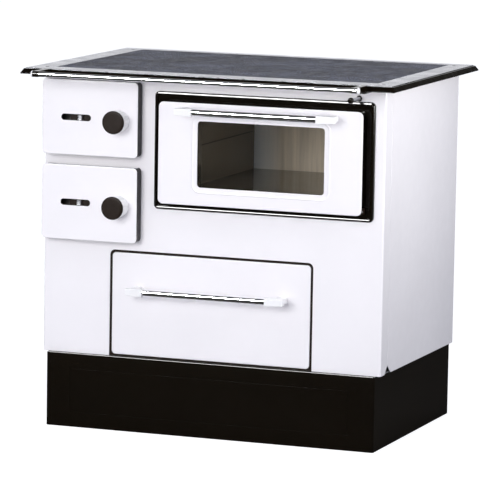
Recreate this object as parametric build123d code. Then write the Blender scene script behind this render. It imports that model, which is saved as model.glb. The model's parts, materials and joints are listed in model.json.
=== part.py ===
from build123d import *
import os

# Wood-burning cookstove with an oven, a fire door, an ash door, a fuel drawer and a plinth.
# Millimetres, +Z up, +X to the right of someone who faces the stove, +Y from front to back.
# While it is drawn, y = 0 is the front face of the casing and x = 0 its middle plane. On export
# every piece is shifted along Y, so that the origin is on the floor under the middle of the
# stove's overall box.

# ------------------------------------------------------------------ whole stove
hob_height = 850.0
body_width = 842.0
body_depth = 540.0
sheet = 2.0                    # enamelled casing sheet
fit_gap = 0.3                  # between pieces that move past each other
thermal_gap = 1.0              # between fixed pieces that heat up differently

# ------------------------------------------------------------------ plinth
plinth_height = 177.0
plinth_side_step = 12.0        # how far the plinth stands back from each side
plinth_front_step = 8.0        # how far the plinth stands in front of the casing
plinth_back_step = 14.0
plinth_flange = 22.0
plinth_field_inset = 60.0      # pressed field on the plinth's front
plinth_field_low = 36.0
plinth_field_high = 144.0
plinth_groove_width = 5.0
plinth_groove_depth = 0.8

# ------------------------------------------------------------------ casing
front_return = 47.0            # front panel's flange along each side
corner_radius = 4.0
lap_width = 32.0               # side panel's lap behind that flange
side_back_flange = 16.0
seam_cut_height = 20.0         # both corners are cut off where the seam meets the plinth
seam_cut_front = 19.0
seam_cut_side = 25.0
screw_radius = 2.5
screw_head_radius = 5.0
screw_head_height = 2.6
screw_length = 6.0
back_screw_rows = 4
back_screw_inset = 10.0
back_screw_margin = 60.0

# ------------------------------------------------------------------ hob
hob_side_overhang = 40.0
hob_front_overhang = 64.0
hob_back_overhang = 36.0
hob_skirt_height = 11.0
hob_skirt_flare = 7.0          # how far the skirt's foot stands out past its top
hob_sheet = 3.0
trim_thickness = 1.5
trim_edge = 4.0                # black margin left outside the polished band
plate_side_inset = 26.0        # from the casing's side to the cooking plate
plate_front_inset = 8.0        # from the casing's front face back to the plate
plate_back_inset = 8.0         # from the casing's back forward to the plate
plate_thickness = 6.0
plate_gap = 2.0
plate_ledge = 14.0             # rim under the plate, at the front and the sides
plate_back_ledge = 37.0        # wider at the back, where it also closes the smoke casing
hob_screw_side_inset = 6.0     # from the casing's side
hob_screw_front_reach = 4.0    # in front of the casing's front face
hob_screw_back_inset = 20.0    # from the casing's back

# ------------------------------------------------------------------ towel rail
rail_radius = 5.5
rail_reach = 130.0             # from the casing's front face to the rail's axis
rail_drop = 6.0                # rail's axis below the hob's top
rail_side_inset = 24.5         # from the casing's side to a bracket's outer face
rail_cap_length = 3.5
rail_cap_radius = 7.5
bracket_width = 14.0
bracket_height = 14.0
bracket_foot_thickness = 5.0
bracket_foot = 34.0

# ------------------------------------------------------------------ fire door and ash door
door_width = 240.0
door_height = 176.0
door_side_margin = 6.0         # from the casing's left side to the doors
door_top_margin = 20.0         # from the casing's top to the fire door
door_spacing = 23.5            # between the two doors
door_plate_sheet = 3.0
door_stand_off = 32.0          # front of the enamelled plate, from the casing's front face
door_plate_radius = 10.0
casting_margin = 1.0           # enamelled plate past the casting, all round
casting_wall = 12.0
casting_front = 4.0
casting_back_gap = 1.5
casting_corner = 6.0           # rounded edge that swings past the frame
frame_opening_inset = 20.0     # from the door's edge to the frame's opening
frame_lip = 14.0
frame_lip_front = 1.0
frame_flange = 8.0
frame_thickness = 6.0
shield_gap = 4.0
shield_thickness = 3.0
shield_hole_radius = 5.0
boss_radius = 6.0
boss_inset = 14.0
hinge_from_edge = 8.0          # door's left edge to the hinge axis
hinge_depth = 14.0             # hinge axis in front of the casing
hinge_end_inset = 3.0          # hinge lugs' place, down from the door's ends
hinge_pin_radius = 3.0
hinge_pin_clearance = 0.08
hinge_lug_radius = 6.0
hinge_lug_height = 9.0
hinge_notch_width = 21.0
hinge_notch_height = 12.0
hinge_pin_bite = 14.0          # pin length inside the casting
slot_length = 75.0
slot_height = 15.0
slot_middle_offset = -34.5     # slot's middle, from the door's middle
slide_length = 52.0
slide_height = 26.0
slide_thickness = 2.0
slide_tab_width = 11.0
slide_tab_height = 12.0
slide_tab_offset = -25.0       # tab's middle, from the door's middle
slide_tab_proud = 1.0          # tab past the enamelled plate's front
slide_rail = 4.0
knob_offset = 75.0             # knob's axis, from the door's middle
knob_drop = 3.0                # and how far it lies below that middle
knob_base_radius = 25.0
knob_front_radius = 27.0
knob_length = 36.0
knob_cap_thickness = 5.0
knob_cap_dome = 2.0
spindle_radius = 5.0
spindle_clearance = 0.08
tongue_length = 36.0
latch_room = 12.0              # past the frame's mouth, for the turned tongue
tongue_width = 12.0
tongue_thickness = 4.0

# ------------------------------------------------------------------ firebox
firebox_wall = 4.0
firebox_side_gap = 21.0        # from the casing's side to the firebox
firebox_past_door = 7.0        # firebox past the doors' right edge
firebox_back_gap = 70.0
grate_shelf_drop = 29.5        # shelf below the fire door's opening
grate_side_margin = 41.0       # from the firebox to the grate's opening
grate_end_margin = 86.0
brick_thickness = 25.0
brick_past_oven = 14.0         # top of the bricks above the oven's roof
bricks_per_side = 3
brick_joint = 1.0
grate_thickness = 16.0
grate_bearing = 6.0
grate_bars = 7
grate_slot_width = 10.0
ash_pan_side_play = 10.0       # each side, in the frame's opening
ash_pan_front_gap = 12.0
ash_pan_back_gap = 32.0
ash_pan_height = 74.0
ash_pan_sheet = 1.5
ash_pan_grip = 60.0
ash_pan_grip_depth = 14.0
ash_pan_grip_bar = 4.0
ash_pan_grip_height = 12.0
ash_pan_grip_drop = 22.0

# ------------------------------------------------------------------ oven
surround_gap = 32.5            # from the doors to the surround
surround_side_margin = 24.5    # from the surround to the casing's right side
surround_top_margin = 38.5     # from the casing's top down to the surround
oven_side_inset = 74.5         # from the surround's edge to the oven's inner wall
oven_floor_inset = 50.5
oven_top_inset = 35.0
oven_back_gap = 85.0           # from the oven's back to the casing's back
oven_wall = 3.0
oven_runner_height = 90.0
oven_runner_width = 8.0
surround_height = 275.5
surround_sheet = 2.5
surround_bead = 8.0
surround_radius = 11.0
seal_width = 8.0
seal_thickness = 2.2
oven_door_side_inset = 20.0    # from the surround's edge to the door
oven_door_low_inset = 17.0
oven_door_top_inset = 21.0
oven_door_radius = 12.0
oven_casing_margin_side = 8.5
oven_casing_margin_end = 3.0
oven_casing_back = 5.0
oven_casing_sheet = 2.0
window_left_margin = 97.0     # from the door's edges to the window
window_right_margin = 90.75
window_low_margin = 42.5
window_top_margin = 41.0
window_radius = 8.0
window_bead_offset = 9.0
window_bead_width = 6.0
window_bead_height = 1.2
glass_lap = 12.0
glass_thickness = 4.0
oven_hinge_rise = 8.5          # hinge axis above the door's lower edge
oven_hinge_depth = 17.0
oven_lug_thickness = 5.0
oven_lug_radius = 7.0
oven_pin_length = 22.0

# ------------------------------------------------------------------ handles
handle_radius = 7.5
handle_chrome = 304.0          # chrome length that shows between the two ends
handle_end_length = 43.0
handle_end_height = 19.0
handle_end_wall = 2.0
handle_socket = 12.0
handle_foot_inset = 3.0
handle_foot_width = 22.0
oven_handle_drop = 18.0        # below the door's upper edge
oven_handle_reach = 70.0       # bar's axis, from the casing's front face
drawer_handle_drop = 84.5      # below the drawer's upper edge
drawer_handle_reach = 43.0

# ------------------------------------------------------------------ drawer
drawer_side_margin = 174.5     # from the casing's side to the drawer
drawer_gap = 4.0
drawer_low_gap = 4.5           # above the plinth
drawer_top_gap = 27.5          # below the ash door
drawer_front_depth = 18.0
drawer_radius = 9.0
drawer_box_margin = 10.5
drawer_box_rise = 3.0          # box above the front's lower edge
drawer_box_drop = 33.0         # and below its upper edge
drawer_back_gap = 70.0         # from the box to the casing's back
drawer_sheet = 1.5
runner_sheet = 2.0
runner_ledge = 18.0
runner_height = 52.0

# ------------------------------------------------------------------ gas ways, damper and flue
gas_side_gap = 21.0            # from the casing's right side to the smoke casing
gas_left_gap = 8.0             # from the oven's inner wall to the casing's left wall
gas_under_oven = 64.0          # from the oven's floor down to the smoke floor
gas_back_gap = 40.0
damper_side_margin = 65.0
damper_top_margin = 31.5
damper_rod_radius = 4.0
damper_rod_clearance = 0.08
damper_rod_front = 52.0
damper_knob_radius = 8.0
damper_knob_length = 16.0
damper_bush_radius = 6.5
damper_bush_neck = 5.4
damper_bush_flange = 3.0
damper_hole_width = 44.0
damper_hole_depth = 26.0
damper_flap_lap = 5.0
damper_travel = 34.0
damper_lug_width = 12.0
flue_side_margin = 191.0
flue_drop = 72.0               # flue's axis below the oven's roof
flue_radius = 59.0
flue_wall = 3.0
flue_flange_radius = 74.0
flue_reach = 60.0              # spigot past the casing's back
flue_shoulder = 1.5            # stops the smoke pipe at the casing
flue_clearance = 1.5

# ------------------------------------------------------------------ worked-out levels and places
half_body = body_width / 2
plinth_width = body_width - 2 * plinth_side_step
trim_z = hob_height - trim_thickness
casing_top = trim_z - hob_sheet
skirt_low_z = trim_z - hob_skirt_height
hob_width = body_width + 2 * hob_side_overhang
hob_back = body_depth + hob_back_overhang
plate_width = body_width - 2 * plate_side_inset
plate_back = body_depth - plate_back_inset
plate_low_z = hob_height - plate_thickness
ledge_low_z = plate_low_z - hob_sheet
rail_height = hob_height - rail_drop
rail_span = body_width - 2 * rail_side_inset

door_left = -half_body + door_side_margin
door_right = door_left + door_width
door_middle_x = (door_left + door_right) / 2
fire_door_z = casing_top - door_top_margin - door_height / 2
ash_door_z = fire_door_z - door_height - door_spacing
door_plate_back = -door_stand_off + door_plate_sheet
casting_left = door_left + casting_margin
casting_right = door_right - casting_margin
frame_opening_width = door_width - 2 * frame_opening_inset
frame_opening_height = door_height - 2 * frame_opening_inset
frame_back = sheet + frame_thickness

surround_left = door_right + surround_gap
surround_right = half_body - surround_side_margin
surround_high_z = casing_top - surround_top_margin
surround_low_z = surround_high_z - surround_height
oven_middle_x = (surround_left + surround_right) / 2
oven_left = surround_left + oven_side_inset
oven_right = surround_right - oven_side_inset
oven_floor_z = surround_low_z + oven_floor_inset
oven_top_z = surround_high_z - oven_top_inset
oven_depth = body_depth - oven_back_gap
oven_back = oven_depth + oven_wall
oven_door_left = surround_left + oven_door_side_inset
oven_door_right = surround_right - oven_door_side_inset
oven_door_low_z = surround_low_z + oven_door_low_inset
oven_door_high_z = surround_high_z - oven_door_top_inset
window_left = oven_door_left + window_left_margin
window_right = oven_door_right - window_right_margin
window_low_z = oven_door_low_z + window_low_margin
window_high_z = oven_door_high_z - window_top_margin
oven_hinge_z = oven_door_low_z + oven_hinge_rise
oven_handle_z = oven_door_high_z - oven_handle_drop

firebox_left = -half_body + firebox_side_gap
firebox_right = door_right + firebox_past_door
firebox_front = frame_back
firebox_back = body_depth - firebox_back_gap
firebox_floor_z = ash_door_z - frame_opening_height / 2
grate_shelf_z = fire_door_z - frame_opening_height / 2 - grate_shelf_drop
grate_opening_width = firebox_right - firebox_left - 2 * grate_side_margin
grate_opening_depth = firebox_back - firebox_front - 2 * grate_end_margin
brick_top_z = oven_top_z + brick_past_oven

drawer_width = body_width - 2 * drawer_side_margin
drawer_low_z = plinth_height + drawer_low_gap
drawer_high_z = ash_door_z - door_height / 2 - drawer_top_gap
drawer_box_low_z = drawer_low_z + drawer_box_rise
drawer_box_high_z = drawer_high_z - drawer_box_drop
drawer_box_back = body_depth - drawer_back_gap
drawer_handle_z = drawer_high_z - drawer_handle_drop

gas_left = oven_left - gas_left_gap
gas_right = half_body - gas_side_gap
gas_floor_z = oven_floor_z - gas_under_oven
gas_back = body_depth - gas_back_gap
damper_x = half_body - damper_side_margin
damper_z = casing_top - damper_top_margin
flue_x = half_body - flue_side_margin
flue_z = oven_top_z - flue_drop

front_most = -(rail_reach + rail_cap_radius)
back_most = body_depth + flue_reach
origin_shift = -(front_most + back_most) / 2


# ------------------------------------------------------------------ small helpers
def block(x0, x1, y0, y1, z0, z1):
    """A box given by its two corners."""
    size = Box(x1 - x0, y1 - y0, z1 - z0)
    return Pos((x0 + x1) / 2, (y0 + y1) / 2, (z0 + z1) / 2) * size


def round_x(y, z, x0, x1, radius):
    """A cylinder along X."""
    return Pos((x0 + x1) / 2, y, z) * Rot(0, 90, 0) * Cylinder(radius, x1 - x0)


def round_y(x, z, y0, y1, radius):
    """A cylinder along Y."""
    return Pos(x, (y0 + y1) / 2, z) * Rot(90, 0, 0) * Cylinder(radius, y1 - y0)


def round_z(x, y, z0, z1, radius):
    """A cylinder along Z."""
    return Pos(x, y, (z0 + z1) / 2) * Cylinder(radius, z1 - z0)


def facing_block(x0, x1, y0, y1, z0, z1, radius):
    """A block whose four edges along Y are rounded."""
    return fillet(block(x0, x1, y0, y1, z0, z1).edges().filter_by(Axis.Y), radius)


def facing_slot(x, z, y0, y1, length, height):
    """A long hole along X with round ends, cut through along Y."""
    return facing_block(
        x - length / 2, x + length / 2, y0, y1, z - height / 2, z + height / 2, height / 2 - 0.01
    )


def upright_block(x0, x1, y0, y1, z0, z1, radius):
    """A block whose four upright edges are rounded."""
    return fillet(block(x0, x1, y0, y1, z0, z1).edges().filter_by(Axis.Z), radius)


def soften(solid, axis, at_end, radius):
    """Round the edges of the face at one end of a solid along an axis."""
    faces = solid.faces().sort_by(axis)
    face = faces[-1] if at_end else faces[0]
    return fillet(face.edges(), radius)


def group(solids):
    """Several separate solids kept in one node."""
    return Compound(children=list(solids))


# ------------------------------------------------------------------ plinth
def plinth():
    left = -plinth_width / 2
    right = plinth_width / 2
    front = -plinth_front_step
    back = body_depth + plinth_back_step
    outer = upright_block(left, right, front, back, 0, plinth_height, corner_radius)
    inner = block(left + sheet, right - sheet, front + sheet, back - sheet, sheet, plinth_height - sheet)
    mouth = block(
        left + plinth_flange, right - plinth_flange, front + plinth_flange, back - plinth_flange, -1,
        plinth_height + 1
    )
    groove = plinth_groove_width
    field = block(
        left + plinth_field_inset, right - plinth_field_inset,
        front - 1, front + plinth_groove_depth, plinth_field_low, plinth_field_high,
    )
    field_inner = block(
        left + plinth_field_inset + groove, right - plinth_field_inset - groove,
        front - 1, front + plinth_groove_depth, plinth_field_low + groove, plinth_field_high - groove,
    )
    return outer - inner - mouth - (field - field_inner)


# ------------------------------------------------------------------ casing
def door_hole(door_z):
    """Hole in the front panel for a door frame's lip and its hinge lugs."""
    half_width = frame_opening_width / 2 + frame_lip + thermal_gap
    half_height = frame_opening_height / 2 + frame_lip + thermal_gap
    hole = block(
        door_middle_x - half_width, door_middle_x + half_width, -1, sheet + 1,
        door_z - half_height, door_z + half_height,
    )
    hinge_x = door_middle_x - door_width / 2 + hinge_from_edge
    reach = hinge_lug_radius + thermal_gap
    ear = block(
        hinge_x - reach, hinge_x + 2 * reach, -1, sheet + 1, door_z - half_height - 2,
        door_z + half_height + 2
    )
    return hole + ear


def front_panel():
    outer = block(-half_body, half_body, 0, front_return, plinth_height, casing_top)
    front_edges = outer.edges().filter_by(Axis.Z).sort_by(Axis.Y)[:2]
    outer = fillet(front_edges, corner_radius)
    inner = block(
        -half_body + sheet, half_body - sheet, sheet, front_return + 1, plinth_height - 1, casing_top + 1
    )
    panel = outer - inner
    panel -= door_hole(fire_door_z)
    panel -= door_hole(ash_door_z)
    panel -= block(
        oven_left - oven_wall - thermal_gap, oven_right + oven_wall + thermal_gap, -1, sheet + 1,
        oven_floor_z - oven_wall - thermal_gap, oven_top_z + oven_wall + thermal_gap,
    )
    half_drawer = drawer_width / 2 + drawer_gap
    drawer_hole = block(
        -half_drawer, half_drawer, -1, sheet + 1, plinth_height - 1, drawer_high_z + drawer_gap
    )
    top_edges = drawer_hole.edges().filter_by(Axis.Y).sort_by(Axis.Z)[-2:]
    panel -= fillet(top_edges, drawer_radius + drawer_gap)
    panel -= round_y(damper_x, damper_z, -1, sheet + 1, damper_bush_neck)
    return panel - seam_cut(front_return, -seam_cut_front)


def seam_cut(seam_y, reach):
    """Corner cut off both flanges at the foot of the seam, sloping away from it by reach."""
    corner = Polyline(
        (seam_y, plinth_height), (seam_y + reach, plinth_height),
        (seam_y, plinth_height + seam_cut_height), close=True
    )
    return extrude(Plane.YZ * make_face(corner), amount=body_width, both=True)


def side_panel(side):
    """Enamelled side: side is -1 on the left and 1 on the right."""
    outer_x = side * half_body
    inner_x = side * (half_body - sheet)
    lap_x = side * (half_body - 2 * sheet)
    start = front_return + thermal_gap
    lap_low = plinth_height + seam_cut_height + sheet
    panel = block(*sorted((outer_x, inner_x)), start, body_depth, plinth_height, casing_top)
    panel += block(
        *sorted((inner_x, lap_x)), start - lap_width / 2, start + lap_width / 2, lap_low, casing_top
    )
    flange_x = side * (half_body - side_back_flange)
    panel += block(
        *sorted((inner_x, flange_x)), body_depth - 2 * sheet, body_depth - sheet, plinth_height,
        casing_top
    )
    panel -= seam_cut(start, seam_cut_side)
    for z in back_screw_heights():
        x = side * (half_body - sheet - back_screw_inset + 2)
        panel -= round_y(x, z, body_depth - screw_length - 1, body_depth + 1, screw_radius)
    return panel


def back_screw_heights():
    low = plinth_height + back_screw_margin
    high = casing_top - back_screw_margin
    step = (high - low) / (back_screw_rows - 1)
    return [low + step * row for row in range(back_screw_rows)]


def back_screw_places():
    x = half_body - sheet - back_screw_inset + 2
    return [(side * x, z) for side in (-1, 1) for z in back_screw_heights()]


def back_panel():
    half_width = half_body - sheet - fit_gap
    panel = block(-half_width, half_width, body_depth - sheet, body_depth, plinth_height, casing_top)
    panel -= round_y(
        flue_x, flue_z, body_depth - 2 * sheet, body_depth + 1,
        flue_radius + flue_shoulder + flue_clearance
    )
    for x, z in back_screw_places():
        panel -= round_y(x, z, body_depth - 2 * sheet, body_depth + 1, screw_radius)
    return panel


def back_screws():
    screws = []
    for x, z in back_screw_places():
        shank = round_y(x, z, body_depth - screw_length, body_depth, screw_radius)
        head = round_y(x, z, body_depth, body_depth + screw_head_height, screw_head_radius)
        slot = block(
            x - screw_head_radius, x + screw_head_radius, body_depth + screw_head_height / 2,
            body_depth + 2 * sheet,
            z - 0.6, z + 0.6,
        )
        screws.append(shank + head - slot)
    return group(screws)


def base_pan():
    half_width = half_body - 2 * sheet - thermal_gap
    return block(
        -half_width, half_width, sheet + thermal_gap, body_depth - 2 * sheet - fit_gap,
        plinth_height, plinth_height + sheet,
    )


# ------------------------------------------------------------------ hob
def frustum(half_low, half_high, front_low, front_high, back_low, back_high, z_low, z_high):
    """A block with sloping sides, lofted between two rectangles."""
    low = Pos(0, (front_low + back_low) / 2, z_low) * Rectangle(2 * half_low, back_low - front_low)
    high = Pos(0, (front_high + back_high) / 2, z_high) * Rectangle(2 * half_high, back_high - front_high)
    return loft([low, high])


def hob_frame():
    half_low = hob_width / 2
    half_high = half_low - hob_skirt_flare
    front_low = -hob_front_overhang
    front_high = front_low + hob_skirt_flare
    back_high = hob_back - hob_skirt_flare
    outer = frustum(half_low, half_high, front_low, front_high, hob_back, back_high, skirt_low_z, trim_z)
    wall = hob_sheet
    slope = hob_skirt_flare / hob_skirt_height
    drop = hob_sheet * slope
    inner = frustum(
        half_low - wall + slope, half_high - wall + drop,
        front_low + wall - slope, front_high + wall - drop,
        hob_back - wall + slope, back_high + wall - 2 * wall + drop,
        skirt_low_z - 1, trim_z - hob_sheet,
    )
    half_plate = plate_width / 2 + plate_gap
    front = plate_front_inset - plate_gap
    back = plate_back + plate_gap
    step = block(
        -half_plate - hob_sheet, half_plate + hob_sheet, front - hob_sheet, back + hob_sheet,
        ledge_low_z, trim_z
    )
    well = block(-half_plate, half_plate, front, back, plate_low_z, trim_z + 1)
    mouth = block(
        -half_plate + plate_ledge, half_plate - plate_ledge, front + plate_ledge, back - plate_back_ledge,
        ledge_low_z - 1, trim_z,
    )
    frame = (outer - inner) + step - well - mouth
    for x, y in hob_screw_places():
        frame -= round_z(x, y, casing_top - 1, trim_z + 1, screw_radius)
    return frame


def hob_screw_places():
    half_x = half_body - hob_screw_side_inset
    back = body_depth - hob_screw_back_inset
    return [(side * half_x, y) for side in (-1, 1) for y in (-hob_screw_front_reach, back)]


def hob_trim():
    edge = hob_skirt_flare + trim_edge
    half_x = hob_width / 2 - edge
    band = upright_block(
        -half_x, half_x, -hob_front_overhang + edge, hob_back - edge, trim_z, hob_height, corner_radius
    )
    half_plate = plate_width / 2 + plate_gap
    band -= block(
        -half_plate, half_plate, plate_front_inset - plate_gap, plate_back + plate_gap, trim_z - 1,
        hob_height + 1
    )
    for x, y in hob_screw_places():
        band -= round_z(x, y, trim_z - 1, hob_height + 1, screw_head_radius)
    return band


def hob_screws():
    screws = []
    for x, y in hob_screw_places():
        shank = round_z(x, y, trim_z - screw_length, trim_z, screw_radius)
        head = round_z(x, y, trim_z, hob_height - 0.2, screw_head_radius - 0.2)
        slot = block(
            x - screw_head_radius, x + screw_head_radius, y - 0.6, y + 0.6, trim_z + 0.7, hob_height
        )
        screws.append(shank + head - slot)
    return group(screws)


def cooking_plate():
    half_x = plate_width / 2
    plate = upright_block(
        -half_x, half_x, plate_front_inset, plate_back, plate_low_z, hob_height, corner_radius
    )
    return fillet(plate.faces().sort_by(Axis.Z)[-1].edges(), 0.8)


# ------------------------------------------------------------------ towel rail
def towel_rail():
    half = rail_span / 2
    return round_x(-rail_reach, rail_height, -half, half, rail_radius)


def rail_brackets():
    """Two arms that carry the rail and are fixed under the hob frame."""
    plates = []
    low = rail_height - bracket_height / 2
    foot_low = skirt_low_z - bracket_foot_thickness
    for side in (-1, 1):
        outer_x = side * rail_span / 2
        inner_x = side * (rail_span / 2 - bracket_width)
        x0, x1 = sorted((outer_x, inner_x))
        skirt_front = -hob_front_overhang
        nose = round_x(-rail_reach, rail_height, x0, x1, bracket_height / 2)
        arm = block(x0, x1, -rail_reach, skirt_front - fit_gap, low, rail_height + bracket_height / 2)
        heel = block(x0, x1, skirt_front - bracket_height, skirt_front - fit_gap, foot_low, rail_height)
        under = block(
            x0, x1, skirt_front - bracket_height, skirt_front + bracket_foot, foot_low, skirt_low_z
        )
        tail = block(
            x0, x1, skirt_front + bracket_foot - bracket_height, skirt_front + bracket_foot, foot_low,
            casing_top
        )
        bracket = nose + arm + heel + under + tail
        bracket -= round_x(-rail_reach, rail_height, x0 - 1, x1 + 1, rail_radius)
        plates.append(bracket)
    return group(plates)


def rail_caps():
    """Two round white ends outside the bracket plates."""
    caps = []
    for side in (-1, 1):
        near = side * rail_span / 2
        far = near + side * rail_cap_length
        cap = round_x(-rail_reach, rail_height, *sorted((near, far)), rail_cap_radius)
        caps.append(soften(cap, Axis.X, side > 0, 1.5))
    return group(caps)


# ------------------------------------------------------------------ fire door and ash door
def door_frame(door_z):
    """Cast frame behind the front panel, with a lip round the mouth and two hinge lugs."""
    half_mouth_x = frame_opening_width / 2
    half_mouth_z = frame_opening_height / 2
    lip_x = half_mouth_x + frame_lip
    lip_z = half_mouth_z + frame_lip
    rim_x = lip_x + frame_flange
    rim_z = lip_z + frame_flange
    x = door_middle_x
    frame = block(x - rim_x, x + rim_x, sheet, frame_back, door_z - rim_z, door_z + rim_z)
    frame += block(x - lip_x, x + lip_x, -frame_lip_front, frame_back, door_z - lip_z, door_z + lip_z)
    hinge_x = x - door_width / 2 + hinge_from_edge
    for end in (-1, 1):
        outer = door_z + end * (door_height / 2 - hinge_end_inset - 1)
        inner = outer - end * hinge_lug_height
        z0, z1 = sorted((outer, inner))
        eye = round_z(hinge_x, -hinge_depth, z0, z1, hinge_lug_radius)
        shank = block(
            hinge_x - hinge_lug_radius, hinge_x + hinge_lug_radius, -hinge_depth, sheet + 1, z0, z1
        )
        frame += eye + shank
    frame -= block(
        x - half_mouth_x, x + half_mouth_x, -hinge_depth * 2, frame_back + 1, door_z - half_mouth_z,
        door_z + half_mouth_z
    )
    frame -= round_z(
        hinge_x, -hinge_depth, door_z - door_height, door_z + door_height,
        hinge_pin_radius + hinge_pin_clearance
    )
    return frame


def door_plate(door_z):
    """White enamelled face of a door, with the air slot and the knob's hole."""
    half_x = door_width / 2
    half_z = door_height / 2
    x = door_middle_x
    plate = facing_block(
        x - half_x, x + half_x, -door_stand_off, door_plate_back, door_z - half_z, door_z + half_z,
        door_plate_radius
    )
    plate = soften(plate, Axis.Y, False, 1.8)
    plate -= facing_slot(x + slot_middle_offset, door_z, -door_stand_off - 1, 0, slot_length, slot_height)
    plate -= round_y(*knob_axis(door_z), -door_stand_off - 1, 0, spindle_radius + spindle_clearance)
    return plate


def door_casting(door_z):
    """Dark cast body behind the enamelled face, open at the back."""
    front = door_plate_back
    back = -casting_back_gap
    low = door_z - door_height / 2 + casting_margin
    high = door_z + door_height / 2 - casting_margin
    body = facing_block(
        casting_left, casting_right, front, back, low, high, door_plate_radius - casting_margin
    )
    wall = casting_wall
    body -= block(
        casting_left + wall, casting_right - wall, front + casting_front, back + 1, low + wall,
        high - wall
    )
    rear = front + casting_front
    for boss_x, boss_z in boss_places(door_z):
        body += round_y(boss_x, boss_z, rear, back, boss_radius)
    round_off = casting_corner
    corner = block(
        casting_left - 1, casting_left + round_off, back - round_off, back + 1, low - 1, high + 1
    )
    body -= corner - round_z(casting_left + round_off, back - round_off, low - 2, high + 2, round_off)
    slot_x = door_middle_x + slot_middle_offset
    slide_back = rear + fit_gap + slide_thickness
    for end in (-1, 1):
        near = door_z + end * (slide_height / 2 + fit_gap)
        far = near + end * slide_rail
        rail = block(
            slot_x - slot_length / 2, slot_x + slot_length / 2, rear, slide_back + fit_gap,
            *sorted((near, far))
        )
        keeper = block(
            slot_x - slot_length / 2, slot_x + slot_length / 2, slide_back + fit_gap,
            slide_back + fit_gap + 2,
            *sorted((near - end * slide_rail, far)),
        )
        body += rail + keeper
    body -= facing_slot(slot_x, door_z, front - 1, rear + 0.01, slot_length, slot_height)
    body -= round_y(*knob_axis(door_z), front - 1, rear + 1, spindle_radius + spindle_clearance)
    hinge_x = door_middle_x - door_width / 2 + hinge_from_edge
    for end in (-1, 1):
        edge = door_z + end * (door_height / 2)
        inner = edge - end * (hinge_end_inset + hinge_notch_height)
        body -= block(
            casting_left - 1, casting_left + hinge_notch_width - casting_margin, front + 1, back + 1,
            *sorted((edge, inner)),
        )
        body += pin_seat(hinge_x, inner, end)
        body -= round_z(
            hinge_x, -hinge_depth, *sorted((inner + end, inner - end * hinge_pin_bite)), hinge_pin_radius
        )
    return body


def pin_seat(hinge_x, inner, end):
    """Boss inside a door casting that holds a hinge pin."""
    seat_z = sorted((inner, inner - end * (hinge_pin_bite + 2)))
    return block(casting_left, casting_left + casting_wall, -hinge_depth - 5, -hinge_depth + 5, *seat_z)


def hinge_pins(door_z):
    """Two upright pins, one at each end of the door's left edge."""
    hinge_x = door_middle_x - door_width / 2 + hinge_from_edge
    pins = []
    for end in (-1, 1):
        edge = door_z + end * (door_height / 2)
        inner = edge - end * (hinge_end_inset + hinge_notch_height)
        deep = inner - end * hinge_pin_bite
        far = edge - end * (hinge_end_inset + 1.5)
        pins.append(round_z(hinge_x, -hinge_depth, *sorted((deep, far)), hinge_pin_radius))
    return group(pins)


def boss_places(door_z):
    half_x = frame_opening_width / 2 - shield_gap - boss_inset
    half_z = frame_opening_height / 2 - shield_gap - boss_inset
    return [(door_middle_x + side * half_x, door_z + end * half_z) for side in (-1, 1) for end in (-1, 1)]


def door_shield(door_z):
    """Heat shield on the casting's bosses, just inside the frame's mouth."""
    half_x = frame_opening_width / 2 - shield_gap
    half_z = frame_opening_height / 2 - shield_gap
    back = -casting_back_gap
    x = door_middle_x
    shield = block(
        x - half_x, x + half_x, back, back + shield_thickness, door_z - half_z, door_z + half_z
    )
    shield -= round_y(
        *knob_axis(door_z), back - 1, back + shield_thickness + 1, spindle_radius + spindle_clearance
    )
    pitch = 4 * shield_hole_radius
    for column in range(-1, 2):
        for row in (-1, 1):
            hole_x = x + slot_middle_offset + column * pitch
            shield -= round_y(
                hole_x, door_z + row * pitch, back - 1, back + shield_thickness + 1, shield_hole_radius
            )
    return shield


def air_slide(door_z):
    """Shutter behind the air slot, moved by the tab that stands in the slot."""
    front = door_plate_back + casting_front + fit_gap
    middle = door_middle_x + slide_tab_offset
    leaf = block(
        middle - slide_length / 2, middle + slide_length / 2, front, front + slide_thickness,
        door_z - slide_height / 2, door_z + slide_height / 2,
    )
    tab = block(
        middle - slide_tab_width / 2, middle + slide_tab_width / 2, -door_stand_off - slide_tab_proud,
        front,
        door_z - slide_tab_height / 2, door_z + slide_tab_height / 2,
    )
    tab = fillet(tab.edges().filter_by(Axis.Z).sort_by(Axis.Y)[:2], 1.5)
    return leaf + tab


def knob_axis(door_z):
    """The knob's axis, X and Z."""
    return door_middle_x + knob_offset, door_z - knob_drop


def door_knob(door_z):
    """White grip, a little wider at its front, on the latch spindle."""
    back = -door_stand_off - fit_gap
    front = back - knob_length
    x, z = knob_axis(door_z)
    profile = make_face(Polyline(
        (0, back), (knob_base_radius, back), (knob_base_radius - 2, back - 4),
        (knob_base_radius - 1, back - knob_length / 2), (knob_front_radius - 1, front), (0, front),
        close=True,
    ))
    knob = Pos(x, 0, z) * revolve(profile, Axis.Y, 360)
    return knob - round_y(x, z, front + 8, back + 1, spindle_radius)


def knob_cap(door_z):
    """Dark domed face on the front of the knob."""
    back = -door_stand_off - fit_gap - knob_length
    front = back - knob_cap_thickness
    x, z = knob_axis(door_z)
    rim = knob_front_radius
    shoulder = front + knob_cap_dome
    profile = make_face(Polyline(
        (0, front), (0, back), (rim, back), (rim, shoulder + 1), (rim - 1, shoulder),
        (rim - 4, shoulder - 1),
        (rim / 2, front), close=True,
    ))
    return Pos(x, 0, z) * revolve(profile, Axis.Y, 360)


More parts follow.
